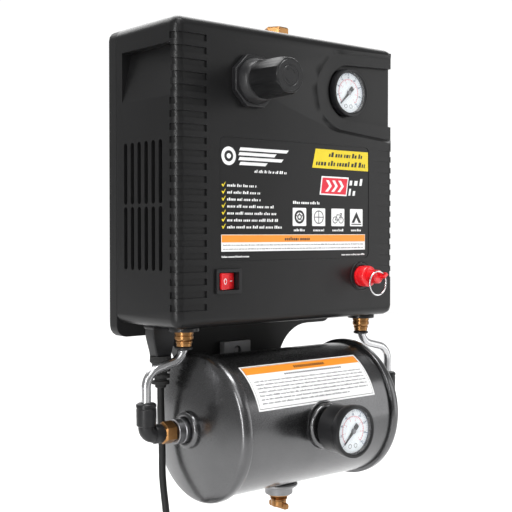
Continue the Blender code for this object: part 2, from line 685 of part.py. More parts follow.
def pipework():
    for side, word in ((-1, "left"), (1, "right")):
        centre = (side * FIT_X, FIT_Y)
        base = CASE_BOTTOM
        lathe("case_nut_" + word, pipe(12.6, 5.4, base - 3.4, base - GAP), 'Z', centre, 24, dark_plastic())
        lathe("case_fitting_" + word,
              [(3.8, base - 18.6), (6.8, base - 18.6), (6.8, base - 16.1), (6.2, base - 15.7), (6.4, base - 12.4),
               (7.8, base - 9), (7.8, base - 3.7), (5.0, base - 3.7), (5.0, base + 14), (3.8, base + 14)],
              'Z', centre, 18, brass())
        top = (side * FIT_X, FIT_Y, base - 4)
        path = bend_path([top, (side * (FIT_X + 0.2), FIT_Y, base - 26), (side * PIPE_X, FIT_Y, base - 34.5),
                          (side * PIPE_X, FIT_Y, PIPE_Z + 12)], 9.0)
        tube("transfer_tube_" + word, path, TUBE_R, aluminium())
        lathe("tank_fitting_" + word,
              [(7.6, side * 115.1), (9.4, side * 116.2), (9.4, side * 125.0), (7.6, side * 126.2),
               (3.0, side * 126.2), (3.0, side * 115.1)], 'X', (TANK_Y, PIPE_Z), 6, brass(), phase=math.pi / 6)
        elbow(side, word)


def elbow(side, word):
    """Push-in elbow: a collar round the tube above, a body and a coupling towards the tank."""
    centre = (side * PIPE_X, FIT_Y)
    low = PIPE_Z - 6.2
    made = lathe("elbow_" + word,
                 [(0, low), (3.6, low), (5.6, low + 1.8), (5.8, PIPE_Z + 8), (7.1, PIPE_Z + 8.6),
                  (7.1, PIPE_Z + 22.6), (7.5, PIPE_Z + 23), (7.5, PIPE_Z + 24.2), (3.8, PIPE_Z + 24.2),
                  (3.8, PIPE_Z + 11), (0, PIPE_Z + 11)],
                 'Z', centre, 16, dark_plastic())
    arm = bmesh.new()
    ends = [(0, side * (PIPE_X - 1)), (6.4, side * (PIPE_X - 1)), (6.4, side * 138), (7.7, side * 137.6),
            (7.7, side * 135.4), (6.9, side * 135), (6.9, side * 126.6), (0, side * 126.6)]
    add_lathe(arm, ends, 'X', (FIT_Y, PIPE_Z), 16)
    boolean(made, finish("elbow_arm_form_" + word, arm, None, cutter=True), 'UNION')


def power_inlet():
    """Cord entry below the case: a tapered housing, a ribbed sleeve and the cord with its plug."""
    base = CASE_BOTTOM
    rings = []
    for drop, half_x, half_y in ((-12, 8.4, 4.4), (GAP, 8.4, 4.4), (GAP + 0.02, 12.5, 7.6), (2.4, 12.5, 7.6),
                                 (2.9, 11.6, 6.6), (10, 11.4, 6.6), (17, 9.8, 6.2), (23, 8.2, 5.9),
                                 (26, 7.8, 5.8)):
        outline = rounded(CORD_X - half_x, CORD_X + half_x, CORD_Y - half_y, CORD_Y + half_y, 1.6, 2)
        rings.append([Vector((x, y, base - drop)) for x, y in outline])
    bm = bmesh.new()
    add_loft(bm, rings)
    finish("cord_housing", bm, dark_plastic())

    profile = [(3.2, base - 26.3), (9.2, base - 26.3), (9.4, base - 31), (7.6, base - 32.6), (7.0, base - 36)]
    for i in range(3):
        high = base - 36.5 - i * 5.4
        profile += [(8.4 - i * 0.4, high), (8.4 - i * 0.4, high - 2.6), (5.8 - i * 0.5, high - 3.2),
                    (5.8 - i * 0.5, high - 4.8)]
    profile += [(4.4, base - 53), (3.2, base - 53)]
    profile[0] = (0, base - 26.3)
    profile[-1] = (0, base - 53)
    lathe("strain_relief", profile, 'Z', (CORD_X, CORD_Y), 16, rubber())


def cord_route():
    """Centre line of the hanging part of the cord, a gentle lean between its two ends."""
    drop = CORD_TOP - HANK_TOP - GAP
    count = 9
    out = []
    for i in range(count + 1):
        share = i / count
        sway = 1.5 * math.sin(math.pi * share) ** 2
        out.append((CORD_X + sway, CORD_Y, CORD_TOP - drop * share))
    return out


def cord():
    tube("power_cord", cord_route(), CORD_R, rubber(), 3)
    top_z = HANK_TOP - HANK_HALF
    low_z = top_z - HANK_RUN
    outline = arc(CORD_X, top_z, HANK_HALF, 0, 180, 12) + arc(CORD_X, low_z, HANK_HALF, 180, 360, 12)
    half_t = HANK_THICK / 2
    prism("cord_hank", outline, 'Y', CORD_Y - half_t, CORD_Y + half_t, rubber())
    middle = (top_z + low_z) / 2
    tie = bmesh.new()
    outer = rounded(CORD_X - HANK_HALF - 2.3, CORD_X + HANK_HALF + 2.3, CORD_Y - half_t - 2.3,
                    CORD_Y + half_t + 2.3, 3, 3)
    add_prism(tie, outer, 'Z', middle - 5, middle + 5)
    made = finish("cord_tie", tie, dark_plastic())
    hole = bmesh.new()
    add_box(hole, CORD_X - HANK_HALF - GAP, CORD_X + HANK_HALF + GAP, CORD_Y - half_t - GAP,
            CORD_Y + half_t + GAP, middle - 8, middle + 8)
    boolean(made, finish("tie_cutter", hole, None, cutter=True))
    tail_top = low_z - HANK_HALF - GAP
    tail_step = (tail_top - PLUG_TOP - GAP) / 3
    tube("cord_tail", [(CORD_X, CORD_Y, tail_top - tail_step * i) for i in range(4)], CORD_R, rubber(), 3)
    rings = []
    for drop, half_x, half_y in ((0, 5, 4.5), (12, 7.5, 6), (18, 12, 9), (36, 13, 10.5), (38, 12, 9.5)):
        loop = rounded(CORD_X - half_x, CORD_X + half_x, CORD_Y - half_y, CORD_Y + half_y, half_y * 0.55, 3)
        rings.append([Vector((x, y, PLUG_TOP - drop)) for x, y in loop])
    bm = bmesh.new()
    add_loft(bm, rings)
    plug = finish("mains_plug", bm, rubber())
    pins = bmesh.new()
    end = PLUG_TOP - 38
    for x in (-6.35, 6.35):
        add_box(pins, CORD_X + x - 0.75, CORD_X + x + 0.75, CORD_Y - 5.4, CORD_Y + 1.0, end - 17, end + 2)
    add_lathe(pins, disc(2.4, end - 20, end + 2), 'Z', (CORD_X, CORD_Y + 5.4), 12)
    boolean(plug, finish("plug_pins_form", pins, None, cutter=True), 'UNION')


def outlet_fitting():
    centre = (OUTLET_X, OUTLET_Y)
    across = 10.0 / math.cos(math.pi / 6)
    profile = [(5.0, CASE_TOP - 18), (7.2, CASE_TOP - 18), (7.2, CASE_TOP + GAP), (across - 0.7, CASE_TOP + GAP),
               (across, CASE_TOP + 1.2), (across, CASE_TOP + 12.8), (across - 0.9, CASE_TOP + 14),
               (6.0, CASE_TOP + 14), (6.0, CASE_TOP + 2), (5.0, CASE_TOP + 2)]
    lathe("outlet_fitting", profile, 'Z', centre, 6, brass(), phase=math.radians(4))


def pump():
    shaft = (PUMP_Y, PUMP_Z)
    lathe("motor_stator", pipe(31, 21, -16, 42), 'X', shaft, 28, steel())
    origin = (0, PUMP_Y, PUMP_Z)
    lathe("motor_rotor", [(0, -28.4), (4, -28.4), (4, -14), (20.2, -14), (20.2, 40), (4, 40), (4, 70), (0, 70)],
          'X', shaft, 24, steel(), origin)
    pin = (PUMP_Y + CRANK_THROW, PUMP_Z)
    crank = lathe("crank_disc", disc(15, BORE_X + 5.5, -28.7), 'X', shaft, 24, steel(), origin)
    boolean(crank, lathe("crank_pin_form", disc(4, BORE_X - 6, BORE_X + 7), 'X', pin, 20, None, cutter=True),
            'UNION')
    fan = bmesh.new()
    outline = []
    for i in range(6):
        start = i * 60
        outline += arc(PUMP_Y, PUMP_Z, 33, start, start + 34, 4)
        outline += arc(PUMP_Y, PUMP_Z, 11, start + 40, start + 54, 2)
    add_prism(fan, outline, 'X', 52, 60)
    made = finish("cooling_fan", fan, dark_plastic(), origin)
    boolean(made, lathe("fan_bore", disc(4.3, 48, 64), 'X', shaft, 20, None, cutter=True))

    shell = [(PUMP_Y + 24, PUMP_Z + 28), (PUMP_Y - 24, PUMP_Z + 28)] + arc(PUMP_Y, PUMP_Z, 29, 160, 380, 14)
    case = prism("crankcase", shell, 'X', -62, -19, aluminium())
    chamber = lathe("crankcase_chamber", disc(22.5, -58.5, -22.5), 'X', shaft, 32, None, cutter=True)
    boolean(case, chamber)
    boolean(case, lathe("shaft_bore", disc(5, -24, -17), 'X', shaft, 20, None, cutter=True))
    boolean(case, lathe("crankcase_bore", disc(BORE_R + 0.2, PUMP_Z + 8, PUMP_Z + 32), 'Z',
                        (BORE_X, PUMP_Y), 32, None, cutter=True))
    lathe("cylinder", pipe(20.5, BORE_R, PUMP_Z + 28.3, PUMP_Z + 71), 'Z', (BORE_X, PUMP_Y), 28, aluminium())
    head = bmesh.new()
    add_prism(head, rounded(BORE_X - 23, BORE_X + 23, PUMP_Y - 23, PUMP_Y + 23, 5), 'Z', PUMP_Z + 71.3,
              PUMP_Z + 84)
    finish("cylinder_head", head, aluminium())
    crown = PUMP_Z + 65
    lathe("piston", [(0, crown), (BORE_R - GAP, crown), (BORE_R - GAP, crown - 24), (13.2, crown - 24),
                     (13.2, crown - 4), (0, crown - 4)], 'Z', (BORE_X, PUMP_Y), 28, dark_plastic(),
          (BORE_X, PUMP_Y, crown))
    rod = bmesh.new()
    pin_y = PUMP_Y + CRANK_THROW
    foot = arc(pin_y, PUMP_Z, 8, 120, 420, 12)
    head_arc = arc(pin_y, PUMP_Z + ROD_LENGTH, 5, -50, 230, 10)
    add_prism(rod, foot + head_arc, 'X', BORE_X - 4, BORE_X + 4)
    made = finish("connecting_rod", rod, aluminium(), (BORE_X, pin_y, PUMP_Z))
    boolean(made, lathe("rod_bore", disc(4.4, BORE_X - 8, BORE_X + 8), 'X', pin, 20, None, cutter=True))

    cradle = bmesh.new()
    add_box(cradle, -14, 38, PUMP_Y, SEAM_Y - 2.5, PUMP_Z - 36, PUMP_Z + 36)
    made = finish("pump_cradle", cradle, steel())
    boolean(made, lathe("cradle_seat", disc(31 + GAP, -20, 44), 'X', shaft, 32, None, cutter=True))
    switch = bmesh.new()
    add_prism(switch, rounded(84, 112, -62, -30, 3), 'Z', -70, -28)
    finish("pressure_switch", switch, dark_plastic())


def main():
    clear_scene()
    wall_track()
    slide_channel()
    back_cover()
    front_shroud()
    regulator()
    gauge("outlet_gauge", GAUGE_X, GAUGE_Z, FRONT_Y - 0.4, FRONT_Y + 24)
    gauge("tank_gauge", 0, TANK_Z, TANK_GAUGE_FRONT, TANK_Y - TANK_R - 5.1 - 6)
    power_switch()
    safety_valve()
    tank()
    drain()
    tank_bracket()
    pipework()
    power_inlet()
    cord()
    outlet_fitting()
    pump()


main()
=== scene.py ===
import math
import random

import bmesh
import bpy
from mathutils import Matrix, Vector


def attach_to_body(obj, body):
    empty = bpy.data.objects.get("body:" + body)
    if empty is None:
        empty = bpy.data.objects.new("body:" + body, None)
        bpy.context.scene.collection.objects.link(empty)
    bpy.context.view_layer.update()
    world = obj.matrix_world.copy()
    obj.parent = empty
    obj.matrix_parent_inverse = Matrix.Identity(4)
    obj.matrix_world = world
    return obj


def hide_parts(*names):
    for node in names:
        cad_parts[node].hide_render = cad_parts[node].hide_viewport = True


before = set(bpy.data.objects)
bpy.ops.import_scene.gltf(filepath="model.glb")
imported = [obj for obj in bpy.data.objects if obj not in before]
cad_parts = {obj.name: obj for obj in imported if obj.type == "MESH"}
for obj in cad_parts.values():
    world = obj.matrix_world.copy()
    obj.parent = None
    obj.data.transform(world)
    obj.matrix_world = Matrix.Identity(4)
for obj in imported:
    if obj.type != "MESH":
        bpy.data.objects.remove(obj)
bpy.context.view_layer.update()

# Sizes and places are in millimetres in the frame's axes.
MM = 0.001
FRONT = -101.0
UNIT = "unit"

# ---------------------------------------------------------------- camera
CAMERA_AT = (-584.1, -743.0, -82.6)
CAMERA_AZIMUTH = math.radians(-40.04)
CAMERA_RISE = math.radians(1.34)


def make_camera():
    data = bpy.data.cameras.new("camera")
    data.lens = 70.2
    data.sensor_width = 36.0
    data.clip_end = 50
    camera = bpy.data.objects.new("camera", data)
    bpy.context.scene.collection.objects.link(camera)
    back = Vector((math.sin(CAMERA_AZIMUTH) * math.cos(CAMERA_RISE),
                   -math.cos(CAMERA_AZIMUTH) * math.cos(CAMERA_RISE), math.sin(CAMERA_RISE)))
    camera.rotation_euler = back.to_track_quat('Z', 'Y').to_euler()
    camera.location = Vector(CAMERA_AT) * MM
    bpy.context.scene.camera = camera


make_camera()


# ---------------------------------------------------------------- materials
def new_material(name, colour, rough, metal=0.0, mottle=0.25, scale=60.0, grain=900.0, bump=0.05,
                 rough_swing=0.08, second=None, stretch=(1, 1, 1), **sockets):
    """A Principled material whose colour, roughness and bump vary with noise in object space."""
    made = bpy.data.materials.new(name)
    made.use_nodes = True
    tree = made.node_tree
    shader = tree.nodes["Principled BSDF"]
    shader.inputs["Metallic"].default_value = metal
    for socket, value in sockets.items():
        shader.inputs[socket.replace("_", " ")].default_value = value
    coords = tree.nodes.new("ShaderNodeTexCoord")
    place = tree.nodes.new("ShaderNodeMapping")
    place.inputs["Scale"].default_value = stretch
    tree.links.new(coords.outputs["Object"], place.inputs["Vector"])

    def noise(size, detail):
        node = tree.nodes.new("ShaderNodeTexNoise")
        node.inputs["Scale"].default_value = size
        node.inputs["Detail"].default_value = detail
        tree.links.new(place.outputs["Vector"], node.inputs["Vector"])
        return node

    broad = noise(scale, 5)
    ramp = tree.nodes.new("ShaderNodeValToRGB")
    dark = second or tuple(c * (1 - mottle) for c in colour)
    ramp.color_ramp.elements[0].position = 0.3
    ramp.color_ramp.elements[0].color = (*dark, 1)
    ramp.color_ramp.elements[1].position = 0.72
    ramp.color_ramp.elements[1].color = (*colour, 1)
    tree.links.new(broad.outputs["Fac"], ramp.inputs["Fac"])
    tree.links.new(ramp.outputs["Color"], shader.inputs["Base Color"])
    wear = tree.nodes.new("ShaderNodeMapRange")
    wear.inputs["To Min"].default_value = max(rough - rough_swing, 0.02)
    wear.inputs["To Max"].default_value = rough + rough_swing
    fine = noise(grain, 3)
    tree.links.new(fine.outputs["Fac"], wear.inputs["Value"])
    tree.links.new(wear.outputs["Result"], shader.inputs["Roughness"])
    if bump:
        relief = tree.nodes.new("ShaderNodeBump")
        relief.inputs["Strength"].default_value = bump
        relief.inputs["Distance"].default_value = 0.0004
        tree.links.new(fine.outputs["Fac"], relief.inputs["Height"])
        tree.links.new(relief.outputs["Normal"], shader.inputs["Normal"])
    return made


CASE = new_material("case_plastic", (0.009, 0.009, 0.0093), 0.34, grain=1500, bump=0.10, mottle=0.15,
                    scale=25, Specular_IOR_Level=0.26)
COVER = new_material("cover_plastic", (0.009, 0.009, 0.0093), 0.5, grain=1500, bump=0.12, mottle=0.15,
                     scale=25, Specular_IOR_Level=0.3)
DARK = new_material("dark_plastic", (0.014, 0.014, 0.015), 0.34, grain=1200, bump=0.04,
                    Specular_IOR_Level=0.3)
KNOB = new_material("knob_plastic", (0.009, 0.009, 0.0095), 0.34, grain=1200, bump=0.03,
                    Specular_IOR_Level=0.3)
RED = new_material("red_plastic", (0.78, 0.010, 0.016), 0.3, mottle=0.1, grain=900, bump=0.02,
                   Coat_Weight=0.3)
DIAL = new_material("dial_white", (0.90, 0.95, 0.98), 0.4, mottle=0.03, grain=800, bump=0.01)
LENS = new_material("lens", (0.95, 0.97, 1.0), 0.05, mottle=0.01, bump=0, rough_swing=0.02, Alpha=0.05)
BRASS = new_material("brass", (0.37, 0.195, 0.075), 0.32, 1.0, second=(0.28, 0.14, 0.052), scale=120,
                     bump=0.03)
CHROME = new_material("bright_steel", (0.62, 0.62, 0.63), 0.16, 1.0, mottle=0.08, bump=0.02)
BUNG = new_material("bung_steel", (0.26, 0.26, 0.27), 0.34, 1.0, mottle=0.2, bump=0.04)
ZINC = new_material("zinc_steel", (0.58, 0.58, 0.59), 0.36, 1.0, mottle=0.2, scale=90, bump=0.06,
                    stretch=(1, 1, 0.12))
TUBE = new_material("tube_aluminium", (0.60, 0.60, 0.61), 0.24, 1.0, mottle=0.08, bump=0.03,
                    stretch=(1, 1, 0.3))
CASTING = new_material("cast_aluminium", (0.55, 0.55, 0.56), 0.5, 0.9, mottle=0.2, bump=0.25, grain=700)
TANK = new_material("tank_paint", (0.125, 0.125, 0.128), 0.27, 0.95, mottle=0.16, scale=40, grain=2400,
                    bump=0.05, rough_swing=0.05, Coat_Weight=0.35, Coat_Roughness=0.12)
TAB = new_material("tab_paint", (0.27, 0.27, 0.275), 0.42, 0.7, mottle=0.2, bump=0.08)
RUBBER = new_material("cord_rubber", (0.012, 0.012, 0.012), 0.55, bump=0.1, grain=1400,
                      Specular_IOR_Level=0.3)
FILM = new_material("label_film", (0.008, 0.008, 0.0083), 0.34, mottle=0.1, scale=30, grain=2500, bump=0.02,
                    Specular_IOR_Level=0.26)
WHITE = new_material("print_white", (0.90, 0.90, 0.90), 0.5, mottle=0.05, scale=200, bump=0.02)
GREY = new_material("print_grey", (0.16, 0.16, 0.165), 0.5, mottle=0.1, bump=0.02)
YELLOW = new_material("print_yellow", (0.80, 0.62, 0.01), 0.4, mottle=0.06, bump=0.02)
ORANGE = new_material("print_orange", (0.90, 0.30, 0.02), 0.4, mottle=0.06, bump=0.02)
RED_INK = new_material("print_red", (0.72, 0.01, 0.035), 0.4, mottle=0.06, bump=0.02)
BLACK_INK = new_material("print_black", (0.012, 0.012, 0.012), 0.45, bump=0.02)
BLUE_INK = new_material("print_blue", (0.05, 0.10, 0.22), 0.45, bump=0.02)
PINK_INK = new_material("print_pink", (0.75, 0.12, 0.18), 0.45, bump=0.02)


# ---------------------------------------------------------------- CAD nodes
def soften(thing, width):
    """Bevel the edges that are sharper than 38 degrees."""
    step = thing.modifiers.new("edge", 'BEVEL')
    step.width = width * MM
    step.segments = 2
    step.limit_method = 'ANGLE'
    step.angle_limit = math.radians(38)


def dress(name, material, edge=0.0):
    """Give a CAD node its finish, weld its facets and soften its edges."""
    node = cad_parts[name]
    node.data.materials.clear()
    node.data.materials.append(material)
    weld = node.modifiers.new("weld", 'WELD')
    weld.merge_threshold = 0.01 * MM
    if edge:
        soften(node, edge)
    if "custom_normal" in node.data.attributes:
        node.data.attributes.remove(node.data.attributes["custom_normal"])
    node.data.shade_smooth()
    nodes = node.modifiers.new("smooth", 'NODES')
    nodes.node_group = smooth_group()
    flat = node.modifiers.new("flat_faces", 'WEIGHTED_NORMAL')
    flat.keep_sharp = True
    flat.weight = 100
    return node


def smooth_group():
    """A geometry node group that marks edges sharp above an angle."""
    found = bpy.data.node_groups.get("smooth_by_angle")
    if found:
        return found
    group = bpy.data.node_groups.new("smooth_by_angle", 'GeometryNodeTree')
    group.interface.new_socket("Geometry", in_out='INPUT', socket_type='NodeSocketGeometry')
    group.interface.new_socket("Geometry", in_out='OUTPUT', socket_type='NodeSocketGeometry')
    start = group.nodes.new("NodeGroupInput")
    end = group.nodes.new("NodeGroupOutput")
    angle = group.nodes.new("GeometryNodeInputMeshEdgeAngle")
    compare = group.nodes.new("FunctionNodeCompare")
    compare.data_type = 'FLOAT'
    compare.operation = 'LESS_EQUAL'
    compare.inputs["B"].default_value = math.radians(30)
    shade = group.nodes.new("GeometryNodeSetShadeSmooth")
    shade.domain = 'EDGE'
    group.links.new(angle.outputs["Unsigned Angle"], compare.inputs["A"])
    group.links.new(compare.outputs["Result"], shade.inputs["Shade Smooth"])
    group.links.new(start.outputs["Geometry"], shade.inputs["Geometry"])
    group.links.new(shade.outputs["Geometry"], end.inputs["Geometry"])
    return group


# ---------------------------------------------------------------- mesh helpers
def spot(axis, along, u, v):
    """The point that lies `along` an axis and at (u, v) across it."""
    if axis == 'X':
        return Vector((along, u, v))
    if axis == 'Y':
        return Vector((u, along, v))
    return Vector((u, v, along))


def add_lathe(bm, profile, axis, centre, sides, paint=0):
    """Turn a closed profile of (radius, along) points about an axis."""
    rings = []
    for radius, along in profile:
        if radius < 0.001:
            rings.append([bm.verts.new(spot(axis, along, *centre))])
            continue
        ring = []
        for i in range(sides):
            turn = math.tau * i / sides
            u, v = centre[0] + radius * math.cos(turn), centre[1] + radius * math.sin(turn)
            ring.append(bm.verts.new(spot(axis, along, u, v)))
        rings.append(ring)
    for low, high in zip(rings, rings[1:] + rings[:1]):
        if len(low) == 1 and len(high) == 1:
            continue
        for i in range(sides):
            j = (i + 1) % sides
            corners = [low[i % len(low)], low[j % len(low)], high[j % len(high)], high[i % len(high)]]
            bm.faces.new(list(dict.fromkeys(corners))).material_index = paint


def skin(bm, low, high, paint=0):
    """Quads between two rings of the same number of corners."""
    for i in range(len(low)):
        j = (i + 1) % len(low)
        bm.faces.new((low[i], low[j], high[j], high[i])).material_index = paint


def add_plate(bm, outline, axis, low, high, paint=0):
    """A flat plate from an outline of (u, v) points."""
    bottom = [bm.verts.new(spot(axis, low, u, v)) for u, v in outline]
    top = [bm.verts.new(spot(axis, high, u, v)) for u, v in outline]
    bm.faces.new(list(reversed(bottom))).material_index = paint
    bm.faces.new(top).material_index = paint
    skin(bm, bottom, top, paint)


def attach(made, body, replaces):
    """Link a finished piece, put it on the body it rides on and hide the CAD nodes it stands for."""
    bpy.context.scene.collection.objects.link(made)
    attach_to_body(made, body)
    if replaces:
        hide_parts(*replaces)
    return made


def piece(name, bm, materials, body=UNIT, replaces=(), angle=32, edge=0.0):
    """A mesh piece from a bmesh in millimetres, with edges sharp above `angle` degrees."""
    bmesh.ops.remove_doubles(bm, verts=bm.verts[:], dist=0.0005)
    bmesh.ops.recalc_face_normals(bm, faces=bm.faces[:])
    bmesh.ops.transform(bm, matrix=Matrix.Scale(MM, 4), verts=bm.verts[:])
    mesh = bpy.data.meshes.new(name)
    bm.to_mesh(mesh)
    bm.free()
    made = bpy.data.objects.new(name, mesh)
    for material in materials:
        mesh.materials.append(material)
    if edge:
        soften(made, edge)
    mesh.shade_smooth()
    mesh.set_sharp_from_angle(angle=math.radians(angle))
    return attach(made, body, replaces)


def turned(name, profile, axis, centre, material, body=UNIT, replaces=(), sides=96, angle=32):
    """A piece that is one turned profile."""
    bm = bmesh.new()
    add_lathe(bm, profile, axis, centre, sides)
    return piece(name, bm, [material], body, replaces, angle)


def arc(cu, cv, radius, start, end, count):
    """Points along an arc, from one angle in degrees to another."""
    return [(cu + radius * math.cos(math.radians(start + (end - start) * i / count)),
             cv + radius * math.sin(math.radians(start + (end - start) * i / count)))
            for i in range(count + 1)]


def box_outline(u0, u1, v0, v1):
    return [(u0, v0), (u1, v0), (u1, v1), (u0, v1)]


def rounded(u0, u1, v0, v1, radius, count=5):
    """The outline of a box with rounded corners."""
    corners = ((u1 - radius, v1 - radius), (u0 + radius, v1 - radius), (u0 + radius, v0 + radius),
               (u1 - radius, v0 + radius))
    outline = []
    for quarter, (u, v) in enumerate(corners):
        outline += arc(u, v, radius, 90 * quarter, 90 * quarter + 90, count)
    return outline


def round_bead(radius, at, size, count=10):
    """Profile of a ring of round section."""
    return [(radius + size * math.cos(math.tau * i / count), at + size * math.sin(math.tau * i / count))
            for i in range(count)]


def curve_tube(name, points, radius, material, replaces, resolution=6):
    """A round tube on the unit, along a line of points."""
    curve = bpy.data.curves.new(name, 'CURVE')
    curve.dimensions = '3D'
    curve.bevel_depth = radius * MM
    curve.bevel_resolution = resolution
    curve.use_fill_caps = True
    line = curve.splines.new('POLY')
    line.points.add(len(points) - 1)
    for place, point in zip(line.points, points):
        place.co = (*(Vector(point) * MM), 1.0)
    line.use_smooth = True
    curve.materials.append(material)
    return attach(bpy.data.objects.new(name, curve), UNIT, replaces)


# ---------------------------------------------------------------- cord
CORD_X, CORD_Y = -106.0, -49.0
CORD_TOP = -213.3
HANK_TOP = -334.0
HANK_IN = 19.0
HANK_PITCH = 6.3
HANK_TURNS = 2.0
HANK_SIDE = HANK_IN + HANK_PITCH * HANK_TURNS + 3.2
HANK_RUN = 103.0
HANK_LAYER = 3.2
HANK_CROSS = 9.6
HANK_HALF = HANK_RUN / 2
HANK_MIDDLE = HANK_TOP - HANK_SIDE - HANK_HALF
HANK_STEPS = 44
PLUG_TOP = -540.0
PLUG_END = PLUG_TOP - 38
FLEX_R = 3.0


def stadium(turn, radius, half):
    """A point on a racetrack: turn 0 is halfway down the left run, and it goes down first."""
    run = 2 * half
    bend = math.pi * radius
    along = (turn % 1.0) * (2 * run + 2 * bend)
    if along <= half:
        return -radius, -along
    along -= half
    if along <= bend:
        angle = math.pi + along / radius
        return radius * math.cos(angle), -half + radius * math.sin(angle)
    along -= bend
    if along <= run:
        return radius, -half + along
    along -= run
    if along <= bend:
        angle = along / radius
        return radius * math.cos(angle), half + radius * math.sin(angle)
    along -= bend
    return -radius, half - along


def ease(t):
    """A smooth step from 0 to 1."""
    t = min(max(t, 0.0), 1.0)
    return t * t * (3 - 2 * t)


def ease_between(value, start, end):
    return ease((value - start) / (end - start))


def cord_points():
    """The flex's centreline: down to the hank, in and out of its turns, and down to the plug."""
    half, middle = HANK_HALF, HANK_MIDDLE
    points = []
    straight = CORD_TOP - HANK_TOP
    for i in range(13):
        t = i / 13
        sway = 1.5 * math.sin(math.pi * t) ** 2
        points.append((CORD_X + sway, CORD_Y - HANK_CROSS * ease((t - 0.55) / 0.45), CORD_TOP - straight * t))
    # across the front of the hank to its inmost turn
    steps = 14
    end_z = middle - 4
    for i in range(steps):
        z = HANK_TOP + (end_z - HANK_TOP) * (i / steps)
        swing = ease_between(z, middle + half + 12, end_z)
        back = ease_between(z, middle + half + 8, end_z)
        points.append((CORD_X - HANK_IN * swing, CORD_Y - HANK_CROSS + (HANK_CROSS - HANK_LAYER) * back, z))
    # outwards in the front layer, then inwards in the back one
    total = 2 * HANK_TURNS
    count = int(total * HANK_STEPS)
    first = 0.02
    for i in range(1, count):
        turn = first + (total - first) * i / count
        out = HANK_PITCH * (HANK_TURNS - abs(turn - HANK_TURNS))
        x, z = stadium(turn, HANK_IN + max(out, 0.0), half)
        shift = ease((turn - HANK_TURNS + 0.14) / 0.28)
        points.append((CORD_X + x, CORD_Y - HANK_LAYER + 2 * HANK_LAYER * shift, middle + z))
    # behind the hank and down to the plug
    low = middle - half - HANK_SIDE
    steps = 24
    for i in range(1, steps + 1):
        z = middle + (PLUG_TOP - middle) * (i / steps)
        swing = ease((middle - z) / (middle - (middle - half - 8)))
        if z > middle - half - 14:
            y = HANK_LAYER + (HANK_CROSS - HANK_LAYER) * ease((middle - z) / (half + 14))
        else:
            y = HANK_CROSS * (1 - ease((low + 3 - z) / 34))
        points.append((CORD_X - HANK_IN * (1 - swing), CORD_Y + y, z))
    return points


def make_plug():
    """A plug with two flat blades and a round earth pin, under a ribbed sleeve."""
    bm = bmesh.new()
    rings = []
    sections = ((0, 4.2, 4.0), (3, 4.6, 4.3), (4, 5.4, 5.0), (6, 5.4, 5.0), (7, 4.9, 4.6), (9, 5.1, 4.8),
                (10, 6.0, 5.3), (12, 6.0, 5.3), (13, 5.4, 5.0), (15, 5.8, 5.4), (17, 9.5, 7.6),
                (20, 12.2, 9.4), (26, 12.9, 10.2), (34, 12.9, 10.4), (37, 12.4, 9.9), (38, 11.4, 9.0))
    for drop, half_x, half_y in sections:
        outline = rounded(CORD_X - half_x, CORD_X + half_x, CORD_Y - half_y, CORD_Y + half_y, half_y * 0.7, 6)
        rings.append([bm.verts.new(spot('Z', PLUG_TOP - drop, u, v)) for u, v in outline])
    for low, high in zip(rings, rings[1:]):
        skin(bm, low, high)
    bm.faces.new(rings[0])
    bm.faces.new(rings[-1])
    end = PLUG_END
    for x in (-6.35, 6.35):
        blade = rounded(CORD_X + x - 0.75, CORD_X + x + 0.75, CORD_Y - 5.4, CORD_Y + 1.0, 0.3, 2)
        add_plate(bm, blade, 'Z', end - 17, end + 1, 1)
    add_lathe(bm, [(0, end + 1), (2.4, end + 1), (2.4, end - 18), (1.2, end - 20), (0, end - 20)], 'Z',
              (CORD_X, CORD_Y + 5.4), 24, 1)
    return piece("mains_plug_body", bm, [RUBBER, BRASS], replaces=("mains_plug",))


def make_tie():
    """A strap round the middle of the hank, with its buckle in front."""
    middle = HANK_MIDDLE
    bm = bmesh.new()
    outer = rounded(CORD_X - HANK_SIDE - 2.0, CORD_X + HANK_SIDE + 2.0, CORD_Y - 8.4, CORD_Y + 8.4, 4.2, 8)
    inner = rounded(CORD_X - HANK_SIDE - 0.5, CORD_X + HANK_SIDE + 0.5, CORD_Y - 6.9, CORD_Y + 6.9, 3.2, 8)
    low_z, high_z = middle - 5, middle + 5
    loops = [[bm.verts.new(spot('Z', z, u, v)) for u, v in ring]
             for ring, z in ((outer, low_z), (outer, high_z), (inner, high_z), (inner, low_z))]
    for low, high in zip(loops, loops[1:] + loops[:1]):
        skin(bm, low, high)
    buckle = rounded(CORD_X - 8, CORD_X + 8, middle - 4.2, middle + 4.2, 1.2, 3)
    add_plate(bm, buckle, 'Y', CORD_Y - 9.9, CORD_Y - 8.5)
    return piece("cord_strap", bm, [RUBBER], replaces=("cord_tie",), edge=0.3)


def make_cord():
    flex = curve_tube("power_flex", cord_points(), FLEX_R, RUBBER,
                      ("power_cord", "cord_hank", "cord_tail"), resolution=4)
    plug = make_plug()
    tie = make_tie()


make_cord()

